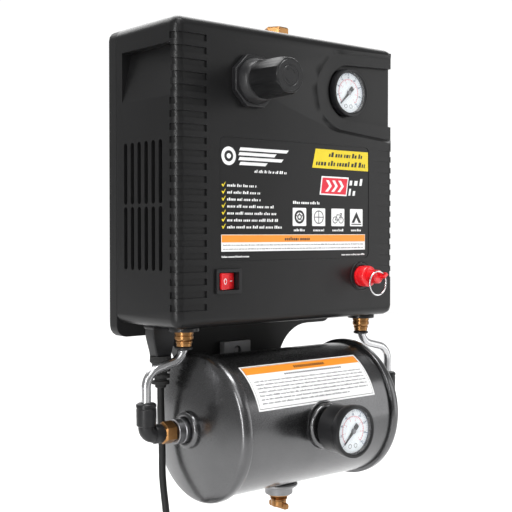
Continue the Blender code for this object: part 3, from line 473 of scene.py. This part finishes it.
# ---------------------------------------------------------------- finishes on the CAD nodes
FINISHES = {
    CASE: (("front_shroud", 0.45),),
    COVER: (("back_cover", 0.5),),
    DARK: (("regulator_nut", 0.5), ("switch_frame", 0.35), ("case_nut_left", 0.4), ("case_nut_right", 0.4),
           ("cord_housing", 0.5), ("outlet_gauge_needle", 0),
           ("tank_gauge_needle", 0), ("cooling_fan", 0.3), ("piston", 0), ("pressure_switch", 0.6)),
    RED: (("switch_rocker", 0.5),),
    DIAL: (("outlet_gauge_dial", 0), ("tank_gauge_dial", 0)),
    BRASS: (("outlet_fitting", 0.35), ("tank_fitting_left", 0.35), ("tank_fitting_right", 0.35),
            ("drain_screw", 0.35), ("regulator_spindle", 0)),
    ZINC: (("wall_track", 0.3), ("slide_channel", 0.2), ("pump_cradle", 0.3), ("motor_stator", 0.3),
           ("motor_rotor", 0), ("crank_disc", 0.3)),
    CASTING: (("crankcase", 0.4), ("cylinder", 0.3), ("cylinder_head", 0.5), ("connecting_rod", 0.3)),
    TAB: (("tank_bracket", 0.25),),
}
for paint, nodes in FINISHES.items():
    for node, edge in nodes:
        dress(node, paint, edge)


# ---------------------------------------------------------------- regulator
REG = (-49.4, 43.0)
KNOB_BACK, KNOB_TIP = FRONT - 15.8, FRONT - 48.0


def regulator_collar():
    front = FRONT - 15.2
    turned("regulator_collar", [(6, front), (14.6, front), (15.4, front + 0.4), (17.2, front + 2.2),
                                (19.0, FRONT - 8.2), (19.4, FRONT - 7.4), (19.4, FRONT - 6.3),
                                (16, FRONT - 6.3), (16, FRONT + 36), (0, FRONT + 36), (0, FRONT + 12),
                                (6, FRONT + 12)],
           'Y', REG, DARK, replaces=("regulator_bonnet",))


def regulator_grip():
    """The knob: eight shallow flats with fine flutes, fading out at both ends."""
    back, tip = KNOB_BACK, KNOB_TIP
    bm = bmesh.new()
    flats, flutes, lobes = 8, 24, 96
    levels = ((back, 15.6, 0.0), (back - 0.8, 16.1, 0.15), (back - 3, 16.2, 0.9), (tip + 4.5, 15.6, 1.0),
              (tip + 1.4, 15.2, 0.9), (tip + 0.4, 14.6, 0.5), (tip, 13.8, 0.0))
    rings = []
    for y, radius, depth in levels:
        ring = []
        for i in range(lobes):
            angle = math.tau * i / lobes
            off = (angle + math.pi / flats) % (math.tau / flats) - math.pi / flats
            facet = math.cos(math.pi / flats) / math.cos(off)
            flute = max(0.0, math.cos(angle * flutes)) ** 2 * 0.14
            shape = 1 - depth * (1 - facet) * 0.9
            reach = radius * shape - depth * flute
            u, v = REG[0] + reach * math.cos(angle), REG[1] + reach * math.sin(angle)
            ring.append(bm.verts.new(spot('Y', y, u, v)))
        rings.append(ring)
    for low, high in zip(rings, rings[1:]):
        skin(bm, low, high)
    bm.faces.new(rings[0])
    bm.faces.new(rings[-1])
    piece("regulator_grip", bm, [KNOB], "regulator_cap", ("regulator_knob",), angle=24)


def regulator_badge():
    """A raised disc on the knob's end with two plain sweeps."""
    tip = KNOB_TIP
    bm = bmesh.new()
    add_lathe(bm, [(0, tip - 0.5), (7.6, tip - 0.5), (8.0, tip - 0.1), (8.6, tip - 0.1), (9.0, tip - 0.5),
                   (12.2, tip - 0.5), (12.8, tip + 0.1), (0, tip + 0.1)], 'Y', REG, 64)
    for start, end in ((200, 310), (20, 130)):
        sweep = arc(*REG, 5.6, start, end, 10) + arc(*REG, 4.9, start, end, 10)[::-1]
        add_plate(bm, sweep, 'Y', tip - 0.75, tip - 0.45)
    piece("regulator_end_badge", bm, [DARK], "regulator_cap")


regulator_collar()
regulator_grip()
regulator_badge()


# ---------------------------------------------------------------- gauges
SCALE_START, SCALE_SWEEP = 225, 270


def scale_angle(i, count):
    """The angle in degrees of mark i of a dial's scale, clockwise from its zero."""
    return SCALE_START - SCALE_SWEEP * i / count


def glyph(name, text, x, z, y, size):
    """Raised numerals for a dial, as a mesh in metres."""
    data = bpy.data.curves.new(name + "_text", 'FONT')
    data.body = text
    data.size = size * MM
    data.extrude = 0.04 * MM
    data.align_x = 'CENTER'
    data.align_y = 'CENTER'
    source = bpy.data.objects.new(name + "_text", data)
    bpy.context.scene.collection.objects.link(source)
    bpy.context.view_layer.update()
    graph = bpy.context.evaluated_depsgraph_get()
    mesh = bpy.data.meshes.new_from_object(source.evaluated_get(graph))
    bpy.data.objects.remove(source)
    upright = Matrix.Rotation(math.radians(90), 4, 'X')
    mesh.transform(Matrix.Translation((x * MM, y * MM, z * MM)) @ upright)
    return mesh


def dial_marks(name, centre, face):
    """Two scales of ticks, their ring lines and two small rings."""
    bm = bmesh.new()

    def tick(angle, inner, outer, wide, paint):
        turn = math.radians(angle)
        along = Vector((math.cos(turn), math.sin(turn)))
        across = Vector((-along.y, along.x)) * wide / 2
        middle = Vector(centre)
        outline = [middle + along * inner - across, middle + along * outer - across,
                   middle + along * outer + across, middle + along * inner + across]
        add_plate(bm, [tuple(p) for p in outline], 'Y', face - 0.12, face + 0.02, paint)

    for i in range(41):
        big = i % 5 == 0
        tick(scale_angle(i, 40), 15.3 if big else 16.2, 17.6, 0.5 if big else 0.22, 0)
    for i in range(29):
        big = i % 4 == 0
        tick(scale_angle(i, 28), 10.4 if big else 11.0, 12.0, 0.42 if big else 0.2, 1)
    for radius, wide, paint in ((12.1, 0.35, 1), (17.8, 0.3, 0)):
        count = 54
        for i in range(count):
            start, end = scale_angle(i, count), scale_angle(i + 1, count)
            outline = arc(*centre, radius, start, end, 1) + arc(*centre, radius + wide, start, end, 1)[::-1]
            add_plate(bm, outline, 'Y', face - 0.12, face + 0.02, paint)
    for x in (-3.2, 3.2):
        add_lathe(bm, [(1.5, face - 0.14), (1.9, face - 0.14), (1.9, face + 0.02), (1.5, face + 0.02)], 'Y',
                  (centre[0] + x, centre[1] - 12.2), 20, 2)
    piece(name + "_marks", bm, [BLUE_INK, PINK_INK, GREY])


def dial_numerals(name, centre, face):
    """Plain numbers: 0 to 160 on the outer scale and 0 to 7 on the inner one."""
    joined = bmesh.new()
    for paint, (spans, step, radius, size) in enumerate(((8, 20, 13.7, 2.3), (7, 1, 8.9, 1.9))):
        for i in range(spans + 1):
            turn = math.radians(scale_angle(i, spans))
            x, z = centre[0] + radius * math.cos(turn), centre[1] + radius * math.sin(turn)
            mesh = glyph(f"{name}_{paint}_{i}", str(i * step), x, z, face - 0.08, size)
            before = len(joined.faces)
            joined.from_mesh(mesh)
            joined.faces.ensure_lookup_table()
            for numeral_face in joined.faces[before:]:
                numeral_face.material_index = paint
            bpy.data.meshes.remove(mesh)
    bmesh.ops.transform(joined, matrix=Matrix.Scale(1 / MM, 4), verts=joined.verts[:])
    piece(name + "_numerals", joined, [BLUE_INK, PINK_INK])


def gauge(name, prefix, centre, front, body_back, pointer):
    """A round gauge whose CAD nodes start with prefix and whose needle is on the pointer body."""
    lip, outer = 19.2, 21.8
    dial = front + 4.0
    profile = [(lip - 0.6, front + 0.9), (lip, front + 0.2), (lip + 0.6, front), (outer - 1.2, front),
               (outer - 0.3, front + 0.4), (outer, front + 1.2), (outer, front + 6.8),
               (outer - 0.4, front + 7.6), (outer - 1.6, front + 8.4), (outer - 1.6, body_back - 0.8),
               (outer - 2.4, body_back), (6, body_back), (6, body_back + 6), (0, body_back + 6),
               (0, dial + 1), (lip, dial + 1), (lip, front + 1.8), (lip - 0.6, front + 1.7)]
    turned(name + "_housing", profile, 'Y', centre, DARK, replaces=(prefix + "_case",))
    turned(name + "_glass", [(0, front + 0.5), (12, front + 0.65), (lip - 0.3, front + 1.05),
                             (lip - 0.3, front + 1.6), (0, front + 1.5)],
           'Y', centre, LENS, replaces=(prefix + "_lens",))
    turned(name + "_chapter", [(18.0, dial - 0.05), (lip - 0.05, dial - 1.6), (lip - 0.02, dial + 0.6),
                               (18.0, dial + 0.6)],
           'Y', centre, DARK)
    dial_marks(name, centre, dial)
    dial_numerals(name, centre, dial)
    turned(name + "_hub", [(0, dial - 2.3), (1.5, dial - 2.3), (2.0, dial - 1.9), (2.0, dial - 1.45),
                           (0, dial - 1.45)],
           'Y', centre, BUNG, pointer, sides=32)


TANK_AT = (-79.4, -245.0)
TANK_R = 59.5
TANK_FRONT = TANK_AT[0] - TANK_R

gauge("panel_gauge", "outlet_gauge", (68.5, 44.9), FRONT - 0.4, FRONT + 24, "outlet_pointer")
gauge("lower_gauge", "tank_gauge", (0.0, TANK_AT[1]), -175.1, TANK_FRONT - 11.1, "tank_pointer")

# ---------------------------------------------------------------- tank
CAP_R = 62.6
CAP_START = 76.5


def tank_shell():
    length = CAP_START + 4
    profile = [(TANK_R - 2, -length), (TANK_R, -length), (TANK_R, length), (TANK_R - 2, length)]
    turned("tank_shell", profile, 'X', TANK_AT, TANK, replaces=("tank_body",), sides=160)


def tank_end(side, word):
    """A domed end cap with its rolled boss and the bung in it."""

    def outwards(points):
        return [(r, side * x) for r, x in points]

    knuckle, turn_at, apex = 6.0, 85.3, 100.0
    outer = [(TANK_R + 0.2, CAP_START + 4.4), (CAP_R - 0.9, CAP_START + 4.5),
             (CAP_R - 0.2, CAP_START + 5.0), (CAP_R, CAP_START + 5.8), (CAP_R, turn_at)]
    outer += arc(CAP_R - knuckle, turn_at, knuckle, 8, 70, 7)
    last_r, last_x = outer[-1]
    shares = [i / 14 for i in range(1, 13)]
    outer += [(last_r * (1 - t), last_x + (apex - last_x) * (1 - (1 - t) ** 2)) for t in shares]
    outer.append((7.3, apex))
    inner = [(max(r - 2, 7.3), x - 2) for r, x in outer[6::3]]
    turned("tank_head_" + word, outwards(outer + inner[::-1]), 'X', TANK_AT, TANK,
           replaces=("tank_cap_" + word,), sides=160, angle=60)
    boss = [(7.0, 99.0), (15.4, 98.6), (15.7, 99.6)]
    boss += arc(12.6, 101.0, 3.1, 0, 150, 9) + [(9.6, 101.6), (7.0, 101.4)]
    turned("tank_boss_" + word, outwards(boss), 'X', TANK_AT, TANK, sides=96, angle=60)
    bung = [(5.2, 92), (8.6, 92), (9.6, 102.0), (10.2, 103.0), (10.2, 107.6), (9.7, 108.0), (9.7, 108.5),
            (10.2, 108.9), (10.2, 114.2), (9.6, 114.9), (5.2, 114.9)]
    turned("tank_spud_" + word, outwards(bung), 'X', TANK_AT, BUNG,
           replaces=("end_bung_" + word,), sides=72, angle=40)


def gauge_spud():
    """The welded boss that holds the tank's gauge."""
    front, centre = TANK_FRONT, (0.0, TANK_AT[1])
    turned("gauge_spud", [(6.3, front + 3), (6.3, front - 0.2), (17.0, front + 0.9), (18.8, front - 0.2),
                          (19.2, front - 1.6), (18.6, front - 3.2), (17.2, front - 4.2), (15.6, front - 4.3),
                          (13.6, front - 3.6), (11.0, front - 3.8), (9.6, front - 4.9), (3.2, front - 4.9),
                          (3.2, front + 3)],
           'Y', centre, TANK, replaces=("gauge_bung",), sides=96, angle=60)
    turned("gauge_weld", round_bead(19.6, front + 2.6, 1.3), 'Y', centre, TANK, sides=96,
           angle=180)


def drain_spud():
    """The boss under the tank and the drain valve's threaded seat."""
    base, centre = TANK_AT[1] - TANK_R, (0.0, TANK_AT[0])
    turned("drain_spud", [(6.3, base + 3), (6.3, base - 0.2), (15.2, base + 0.6), (16.8, base - 0.6),
                          (16.8, base - 1.8), (15.4, base - 3.2), (12.8, base - 4.0), (12.4, base - 4.8),
                          (12.4, base - 8.8), (11.6, base - 9.7), (5.6, base - 9.7), (5.6, base + 3)],
           'Z', centre, TAB, replaces=("drain_boss",), sides=64)
    profile = [(3.0, base - 15.2), (6.9, base - 15.2), (7.2, base - 14.8)]
    for i in range(4):
        z = base - 14.4 + i * 0.9
        profile += [(7.2, z), (7.7, z + 0.35)]
    profile += [(9.8, base - 10.9), (9.8, base - 9.9), (5.2, base - 9.9), (5.2, base + 2), (3.0, base + 2)]
    turned("drain_seat", profile, 'Z', centre, BRASS, replaces=("drain_valve_body",), sides=48)


SIDES = ((-1, "left"), (1, "right"))

tank_shell()
for side, word in SIDES:
    tank_end(side, word)
gauge_spud()
drain_spud()


# ---------------------------------------------------------------- pipework
def bend_path(points, radius, count=10):
    """A line of points through some corners, each rounded to a radius."""
    corners = [Vector(p) for p in points]
    out = [corners[0]]
    for before, here, after in zip(corners, corners[1:], corners[2:]):
        a, b = (before - here).normalized(), (after - here).normalized()
        half = a.angle(b) / 2
        centre = here + (a + b).normalized() * (radius / math.sin(half))
        reach = radius / math.tan(half)
        start = (here + a * reach - centre).normalized()
        end = (here + b * reach - centre).normalized()
        out += [centre + start.slerp(end, i / count) * radius for i in range(count + 1)]
    out.append(corners[-1])
    return out


# the case's fittings, the pipes beside the tank, the elbows' height and the case's underside
FIT_Y, FIT_X = -79.6, 103.8
PIPE_X, PIPE_Z = 141.0, -244.4
BASE = -160.0


def air_pipe(side, word):
    path = bend_path([(side * FIT_X, FIT_Y, BASE - 4), (side * (FIT_X + 0.2), FIT_Y, BASE - 26),
                      (side * PIPE_X, FIT_Y, BASE - 34.5), (side * PIPE_X, FIT_Y, PIPE_Z + 12)], 15.0)
    curve_tube("air_pipe_" + word, path, 3.9, TUBE, ("transfer_tube_" + word,))


def case_adapter(side, word):
    """A brass push fitting under the case, with its dark release collar."""
    centre = (side * FIT_X, FIT_Y)
    bm = bmesh.new()
    body = [(4.2, BASE - 15.9), (5.6, BASE - 15.9), (6.2, BASE - 15.5), (6.3, BASE - 13.2),
            (6.9, BASE - 12.8), (6.9, BASE - 11.6), (6.5, BASE - 11.2), (7.2, BASE - 10.4),
            (7.8, BASE - 9.6), (7.8, BASE - 7.2), (7.3, BASE - 6.8), (7.3, BASE - 6.2), (7.8, BASE - 5.8),
            (7.8, BASE - 3.7), (5.0, BASE - 3.7), (5.0, BASE + 14), (4.2, BASE + 14)]
    add_lathe(bm, body, 'Z', centre, 48)
    release = [(4.1, BASE - 18.6), (6.2, BASE - 18.6), (6.9, BASE - 18.1), (6.9, BASE - 16.6),
               (6.3, BASE - 16.1), (4.1, BASE - 16.1)]
    add_lathe(bm, release, 'Z', centre, 48, 1)
    piece("case_adapter_" + word, bm, [BRASS, DARK], replaces=("case_fitting_" + word,))


def push_elbow(side, word):
    """A dark elbow: an upright socket, an arm towards the tank and the bend between them."""
    sides = 48
    bm = bmesh.new()
    upright = [(4.2, PIPE_Z + 26.2), (6.4, PIPE_Z + 26.2), (7.0, PIPE_Z + 25.8), (7.9, PIPE_Z + 25.2),
               (8.2, PIPE_Z + 24.6), (8.2, PIPE_Z + 22.8), (7.7, PIPE_Z + 22.4), (7.7, PIPE_Z + 21.8),
               (8.1, PIPE_Z + 21.4), (7.9, PIPE_Z + 8.2), (7.2, PIPE_Z + 7.6), (4.2, PIPE_Z + 7.6)]
    add_lathe(bm, upright, 'Z', (side * PIPE_X, FIT_Y), sides)
    arm = [(0, 134.6), (6.6, 134.6), (7.6, 134.2), (7.8, 133.4), (7.8, 127.6), (7.2, 126.6), (0, 126.6)]
    add_lathe(bm, [(r, side * x) for r, x in arm], 'X', (FIT_Y, PIPE_Z), sides)
    corner = bend_path([(side * PIPE_X, FIT_Y, PIPE_Z + 9), (side * PIPE_X, FIT_Y, PIPE_Z),
                        (side * 134, FIT_Y, PIPE_Z)], 6.6, 12)
    rings = []
    for i, point in enumerate(corner):
        ahead = corner[min(i + 1, len(corner) - 1)] - corner[max(i - 1, 0)]
        ahead.normalize()
        flat = Vector((0, 1, 0)).cross(ahead)
        ring = []
        for k in range(sides):
            turn = math.tau * k / sides
            out = flat * math.cos(turn) + Vector((0, math.sin(turn), 0))
            ring.append(bm.verts.new(point + out * 6.5))
        rings.append(ring)
    bm.faces.new(rings[0])
    for low, high in zip(rings, rings[1:]):
        skin(bm, low, high)
    bm.faces.new(rings[-1])
    piece("push_elbow_" + word, bm, [DARK], replaces=("elbow_" + word,), angle=40)


for side, word in SIDES:
    air_pipe(side, word)
    case_adapter(side, word)
    push_elbow(side, word)


# ---------------------------------------------------------------- relief valve
VALVE = (82.0, -122.5)


def relief_valve():
    bm = bmesh.new()
    body = [(0, FRONT + 26), (6, FRONT + 26), (6, FRONT + 12), (9.4, FRONT + 12), (9.4, FRONT - 2.2),
            (9.0, FRONT - 2.5), (9.0, FRONT - 3.1), (9.6, FRONT - 3.4), (9.6, FRONT - 9.8),
            (9.0, FRONT - 10.8), (7.9, FRONT - 11.5), (3.4, FRONT - 11.6), (3.4, FRONT + 4), (0, FRONT + 4)]
    add_lathe(bm, body, 'Y', VALVE, 64)
    piece("relief_body", bm, [RED], replaces=("safety_valve_body",))
    bm = bmesh.new()
    add_lathe(bm, round_bead(13.1, FRONT - 0.1, 0.75), 'Y', VALVE, 64)
    sleeve = [(10.4, FRONT - 0.9), (12.2, FRONT - 0.9), (12.2, FRONT + 2.6), (10.4, FRONT + 2.6)]
    add_lathe(bm, sleeve, 'Y', VALVE, 64)
    piece("relief_surround", bm, [DARK], angle=50)
    dress("safety_valve_stem", RED, 0.25)
    # the pull ring hangs from the stem's eye, leaning down to the left
    lean, ring_r, wire_r = math.radians(40), 10.6, 0.75
    hook = Vector((VALVE[0] + 3.6, VALVE[1] + 1.2))
    middle = hook - Vector((math.cos(lean), math.sin(lean))) * ring_r
    turned("relief_ring_wire", round_bead(ring_r, FRONT - 22.6 - 2.6, wire_r, 12), 'Y', tuple(middle), CHROME,
           "relief_ring", ("pull_ring",), sides=96, angle=180)


relief_valve()


# ---------------------------------------------------------------- switch marks
def switch_marks():
    """A ring and a bar on the two halves of the rocker."""
    x, z, reach, tilt = -74.7, -122.5, 9.3, 3.6
    pivot = Vector((x, FRONT - 1.0, z))
    left = Vector((x - reach, FRONT - tilt, z))
    right = Vector((x + reach, FRONT + tilt, z))
    bm = bmesh.new()

    def place(u, v, side, lift):
        end = left if side < 0 else right
        along = (end - pivot).normalized()
        out = Vector((along.y, -along.x, 0)) * (1 if along.x > 0 else -1)
        return pivot + along * u + Vector((0, 0, v)) + out * lift

    def strip(points, side):
        low = [bm.verts.new(place(u, v, side, -0.05)) for u, v in points]
        high = [bm.verts.new(place(u, v, side, 0.1)) for u, v in points]
        bm.faces.new(low)
        bm.faces.new(high[::-1])
        skin(bm, low, high)

    for i in range(24):
        start, end = 360 * i / 24, 360 * (i + 1) / 24
        outline = arc(4.6, 0, 1.5, start, end, 1) + arc(4.6, 0, 2.0, start, end, 1)[::-1]
        strip([(u, v * 1.25) for u, v in outline], -1)
    strip(box_outline(2.6, 6.4, -0.3, 0.3), 1)
    piece("switch_marks", bm, [WHITE], "power_rocker")


switch_marks()


# ---------------------------------------------------------------- front label
LABEL_FACE = FRONT + 0.6


def add_words(bm, x0, x1, z, height, paint, put, seed, gap=1.0, slant=0.0, word=(2.0, 6.0)):
    """A line of plain upright marks, grouped like words, where the photograph has small print."""
    draw = random.Random(seed)
    x = x0
    while x < x1 - height * 0.4:
        stop = min(x + draw.uniform(*word), x1)
        while x < stop - height * 0.25:
            wide = min(height * draw.uniform(0.34, 0.62), stop - x)
            tall = height * draw.choice((0.66, 0.66, 0.66, 0.95))
            lean = slant * tall
            put(bm, [(x, z), (x + wide, z), (x + wide + lean, z + tall), (x + lean, z + tall)], paint)
            x += wide + height * 0.24
        x += gap


def front_label():
    film = bmesh.new()
    add_plate(film, rounded(-82.6, 91.4, -105.6, -4.4, 4.7, 8), 'Y', LABEL_FACE - 0.22, LABEL_FACE - 0.02)
    piece("front_label_film", film, [FILM])
    bm = bmesh.new()
    paints = [WHITE, YELLOW, RED_INK, ORANGE, BLACK_INK, GREY]
    white, yellow, red, orange, black, grey = range(6)

    def put(target, outline, paint, lift=0.0):
        add_plate(target, outline, 'Y', LABEL_FACE - 0.30 - lift, LABEL_FACE - 0.20 - lift, paint)

    def put_on(target, outline, paint):
        put(target, outline, paint, 0.1)

    # a plain mark of a disc and four streaks
    ring = arc(-73.6, -19.6, 7.6, 90, 450, 40)[:-1]
    put(bm, ring, white)
    put(bm, arc(-73.6, -19.6, 4.6, 90, 450, 32)[:-1], black, 0.1)
    put(bm, arc(-73.6, -19.6, 2.2, 90, 450, 24)[:-1], white, 0.2)
    for z, start, end in ((-14.6, -62.5, -10), (-18.6, -63.4, -24), (-22.6, -63.4, -16), (-26.6, -62.5, -34)):
        put(bm, [(start, z), (end, z), (end + 2.6, z + 2.7), (start + 1.4, z + 2.7)], white)
    add_words(bm, -46, -9.5, -32.4, 2.6, white, put, 3, 1.1, 0.2)
    # tick list
    x = -81.0
    for row, end in enumerate((-43, -40, -39, -25, -22, -20, -15)):
        z = -44.8 - row * 5.72
        put(bm, [(x, z + 1.7), (x + 0.9, z + 2.3), (x + 1.6, z + 1.2), (x + 4.0, z + 4.0), (x + 4.2, z + 3.6),
                 (x + 1.9, z - 0.2), (x + 1.3, z - 0.2)], yellow)
        add_words(bm, -75.2, end, z, 2.6, white, put, 20 + row, 1.25, 0.12, (4.0, 9.0))
    # yellow badge
    put(bm, [(20.3, -25.3), (92.0 - 0.8, -26.0), (91.3 - 0.4, -8.5), (24.5, -8.4)], yellow)
    add_words(bm, 40.5, 86.5, -14.9, 4.4, black, put_on, 41, 1.5, 0.22, (5, 11))
    add_words(bm, 24.6, 86.5, -22.9, 4.8, black, put_on, 42, 1.6, 0.22, (8, 18))
    # red badge with three chevrons
    put(bm, [(29.4, -48.9), (63.0, -49.5), (65.9, -32.5), (31.8, -32.3)], white)
    put(bm, [(30.9, -47.7), (61.9, -48.2), (64.4, -33.8), (33.0, -33.6)], red, 0.1)
    for i in range(3):
        x = 36.0 + i * 7.6
        put(bm, [(x, -46.0), (x + 3.4, -46.0), (x + 8.2, -40.9), (x + 4.6, -35.8), (x + 1.2, -35.8),
                 (x + 5.0, -40.9)], white, 0.2)
    add_words(bm, 66.6, 86.0, -39.6, 6.6, white, put, 51, 1.3, 0.2, (3.8, 5.4))
    add_words(bm, 65.4, 79.0, -48.9, 6.6, white, put, 52, 1.3, 0.2, (3.4, 5.0))
    add_words(bm, -2.4, 30.0, -57.6, 2.7, white, put, 53, 1.0, 0, (5, 11))
    # four plain pictograms
    for left, right in ((-2.8, 13.1), (20.3, 36.2), (43.9, 60.3), (67.6, 84.0)):
        put(bm, rounded(left, right, -76.8, -61.0, 0.8, 3), white)
        add_words(bm, left + 1.4, right - 1.4, -81.4, 2.3, white, put, int(left) + 90, 0.5, 0, (5, 9))

    def ink(outline):
        put(bm, outline, black, 0.1)

    def ring_ink(u, v, outer, inner, count=20):
        for i in range(count):
            start, end = 360 * i / count, 360 * (i + 1) / count
            ink(arc(u, v, inner, start, end, 1) + arc(u, v, outer, start, end, 1)[::-1])

    ring_ink(5.15, -68.9, 5.9, 4.0)
    ring_ink(5.15, -68.9, 2.6, 1.5)
    for i in range(5):
        turn = math.radians(90 + 72 * i)
        ink(arc(5.15 + 3.3 * math.cos(turn), -68.9 + 3.3 * math.sin(turn), 0.55, 0, 300, 5))
    ring_ink(28.25, -68.9, 5.9, 5.2)
    ink(box_outline(22.6, 33.9, -69.2, -68.6))
    ink(box_outline(27.95, 28.55, -74.6, -63.2))
    ring_ink(48.6, -71.2, 3.1, 2.5)
    ring_ink(56.0, -71.2, 3.1, 2.5)
    ink([(48.3, -71.4), (50.9, -66.0), (51.5, -66.2), (49.0, -71.6)])
    ink(box_outline(48.6, 52.6, -71.5, -70.9))
    ink([(52.2, -71.4), (55.2, -66.6), (55.7, -66.9), (52.8, -71.6)])
    ink(box_outline(51.0, 55.4, -66.9, -66.3))
    ink([(54.6, -64.9), (57.0, -64.9), (56.1, -70.8), (55.5, -70.8), (56.0, -65.6), (54.6, -65.6)])
    ink([(69.6, -73.6), (75.8, -63.6), (82.0, -73.6), (78.6, -73.6), (75.8, -68.8), (73.0, -73.6)])
    ink(box_outline(69.4, 82.2, -75.4, -74.6))
    # notice strip: a coloured band over lines of plain marks
    put(bm, box_outline(-81.4, 87.2, -98.2, -84.2), white)
    put(bm, box_outline(-81.0, 86.8, -90.6, -84.6), orange, 0.1)
    add_words(bm, -12.0, 20.0, -89.3, 3.1, black, lambda t, o, p: put(t, o, p, 0.2), 61, 1.2, 0, (12, 20))
    for row, z in enumerate((-93.4, -96.6)):
        add_words(bm, -79.6, 85.6, z, 1.05, grey, put_on, 70 + row, 0.6, 0, (1.2, 4.4))
    add_words(bm, -81.0, -51.0, -103.2, 1.7, white, put, 81, 0.4, 0, (4, 9))
    add_words(bm, 57.0, 86.5, -103.2, 1.7, white, put, 82, 0.5, 0, (4, 9))
    piece("front_label_print", bm, paints)


front_label()


# ---------------------------------------------------------------- tank label
def tank_label():
    bm = bmesh.new()
    paints = [WHITE, ORANGE, GREY, BLACK_INK]

    def put(x0, x1, a0, a1, paint, lift, low=0.02):
        """A curved patch between two angles above the front of the tank."""
        steps = max(1, int((a1 - a0) / 1.5))
        inner = TANK_R + low
        outer = TANK_R + lift
        rows = []
        for i in range(steps + 1):
            turn = math.radians(180 - (a0 + (a1 - a0) * i / steps))
            cy, cz = math.cos(turn), math.sin(turn)
            rows.append([bm.verts.new((x, TANK_AT[0] + r * cy, TANK_AT[1] + r * cz))
                         for x, r in ((x0, inner), (x1, inner), (x1, outer), (x0, outer))])
        for low_row, high_row in zip(rows, rows[1:]):
            for i in range(4):
                j = (i + 1) % 4
                bm.faces.new((low_row[i], low_row[j], high_row[j], high_row[i])).material_index = paint
        bm.faces.new(rows[0]).material_index = paint
        bm.faces.new(rows[-1]).material_index = paint

    put(-70.5, 63.5, 18.6, 60.2, 0, 0.12)
    put(-68.6, 61.6, 50.6, 58.4, 1, 0.18, 0.05)
    for start, stop, low, high, lift in ((-14.0, 21.0, 52.9, 55.6, 0.22), (-29.0, 38.0, 47.0, 48.7, 0.17)):
        x = start
        while x < stop:
            put(x, x + 1.5, low, high, 3, lift, 0.05)
            x += 2.4
    for x0, x1, a0, a1 in ((-69.0, 62.0, 58.7, 59.1), (-69.0, 62.0, 20.0, 20.4), (-69.0, -68.7, 20.0, 59.1),
                           (61.7, 62.0, 20.0, 59.1)):
        put(x0, x1, a0, a1, 3, 0.17, 0.05)
    draw = random.Random(7)
    for row in range(7):
        low = 42.6 - row * 3.15
        x = -65.0
        stop = 58.5 if row < 6 else 34.0
        while x < stop:
            end = min(x + draw.uniform(3.0, 10.0), stop)
            while x < end - 0.3:
                wide = min(draw.uniform(0.5, 0.95), end - x)
                put(x, x + wide, low, low + draw.choice((1.0, 1.0, 1.0, 1.45)), 2, 0.17, 0.05)
                x += wide + 0.28
            x += 0.8
    piece("tank_label", bm, paints, angle=20)


tank_label()


# ---------------------------------------------------------------- small parts on the case
def screw_heads():
    bm = bmesh.new()
    places = [(x, z) for z in (78, -34, -150) for x in (-114, 114)] + [(-38, -278), (38, -278)]
    for x, z in places:
        profile = [(0, -2.0), (1.6, -2.0), (2.0, -1.5), (3.4, -1.5), (3.9, -2.0), (3.9, -2.7), (0, -2.7)]
        add_lathe(bm, profile, 'Y', (x, z), 24)
        for turn in (0, math.pi / 2):
            along = Vector((math.cos(turn + 0.5), math.sin(turn + 0.5)))
            across = Vector((-along.y, along.x))
            outline = [Vector((x, z)) + along * u + across * v
                       for u, v in ((-1.5, -0.3), (1.5, -0.3), (1.5, 0.3), (-1.5, 0.3))]
            add_plate(bm, [tuple(p) for p in outline], 'Y', -1.9, -2.05)
    piece("cover_screws", bm, [ZINC])


screw_heads()


# ---------------------------------------------------------------- stage
def stage():
    bm = bmesh.new()
    size, level = 4.4, -0.615
    bm.faces.new([bm.verts.new((x, y, level)) for x, y in box_outline(-size, size, -size, size)])
    mesh = bpy.data.meshes.new("floor")
    bm.to_mesh(mesh)
    bm.free()
    floor = bpy.data.objects.new("floor", mesh)
    bpy.context.scene.collection.objects.link(floor)
    mesh.materials.append(new_material("floor_paint", (0.9, 0.9, 0.9), 0.9, mottle=0.02, bump=0, scale=3))

    def lamp(name, at, aim, size_x, size_y, power):
        data = bpy.data.lights.new(name, 'AREA')
        data.shape = 'RECTANGLE'
        data.size = size_x
        data.size_y = size_y
        data.energy = power
        made = bpy.data.objects.new(name, data)
        bpy.context.scene.collection.objects.link(made)
        made.location = at
        made.rotation_euler = (Vector(at) - Vector(aim)).to_track_quat('Z', 'Y').to_euler()

    lamp("key", (-0.9, -1.7, 1.6), (0, -0.05, -0.1), 1.2, 1.2, 13)
    lamp("fill", (1.7, -1.5, 0.1), (0, -0.05, -0.1), 0.7, 1.8, 9)
    lamp("strip", (-1.5, -0.75, 0.1), (0, -0.08, -0.2), 0.16, 1.3, 15)
    lamp("top", (-0.1, -0.55, 1.9), (0, -0.05, 0.0), 1.2, 0.5, 30)
    lamp("floor", (1.6, 2.6, 2.4), (1.6, 2.6, -0.6), 6.0, 4.0, 210)

    world = bpy.data.worlds.new("studio")
    world.use_nodes = True
    tree = world.node_tree
    coords = tree.nodes.new("ShaderNodeTexCoord")
    facing = tree.nodes.new("ShaderNodeVectorMath")
    facing.operation = 'DOT_PRODUCT'
    facing.inputs[1].default_value = (0.643, 0.766, 0.0)
    tree.links.new(coords.outputs["Generated"], facing.inputs[0])
    level = tree.nodes.new("ShaderNodeMapRange")
    level.interpolation_type = 'SMOOTHSTEP'
    level.inputs["From Min"].default_value = 0.5
    level.inputs["From Max"].default_value = 0.9
    level.inputs["To Min"].default_value = 0.32
    level.inputs["To Max"].default_value = 1.05
    tree.links.new(facing.outputs["Value"], level.inputs["Value"])
    tree.links.new(level.outputs["Result"], tree.nodes["Background"].inputs["Strength"])
    tree.nodes["Background"].inputs["Color"].default_value = (1, 1, 1, 1)
    bpy.context.scene.world = world
    bpy.context.scene.view_settings.view_transform = 'Standard'


stage()
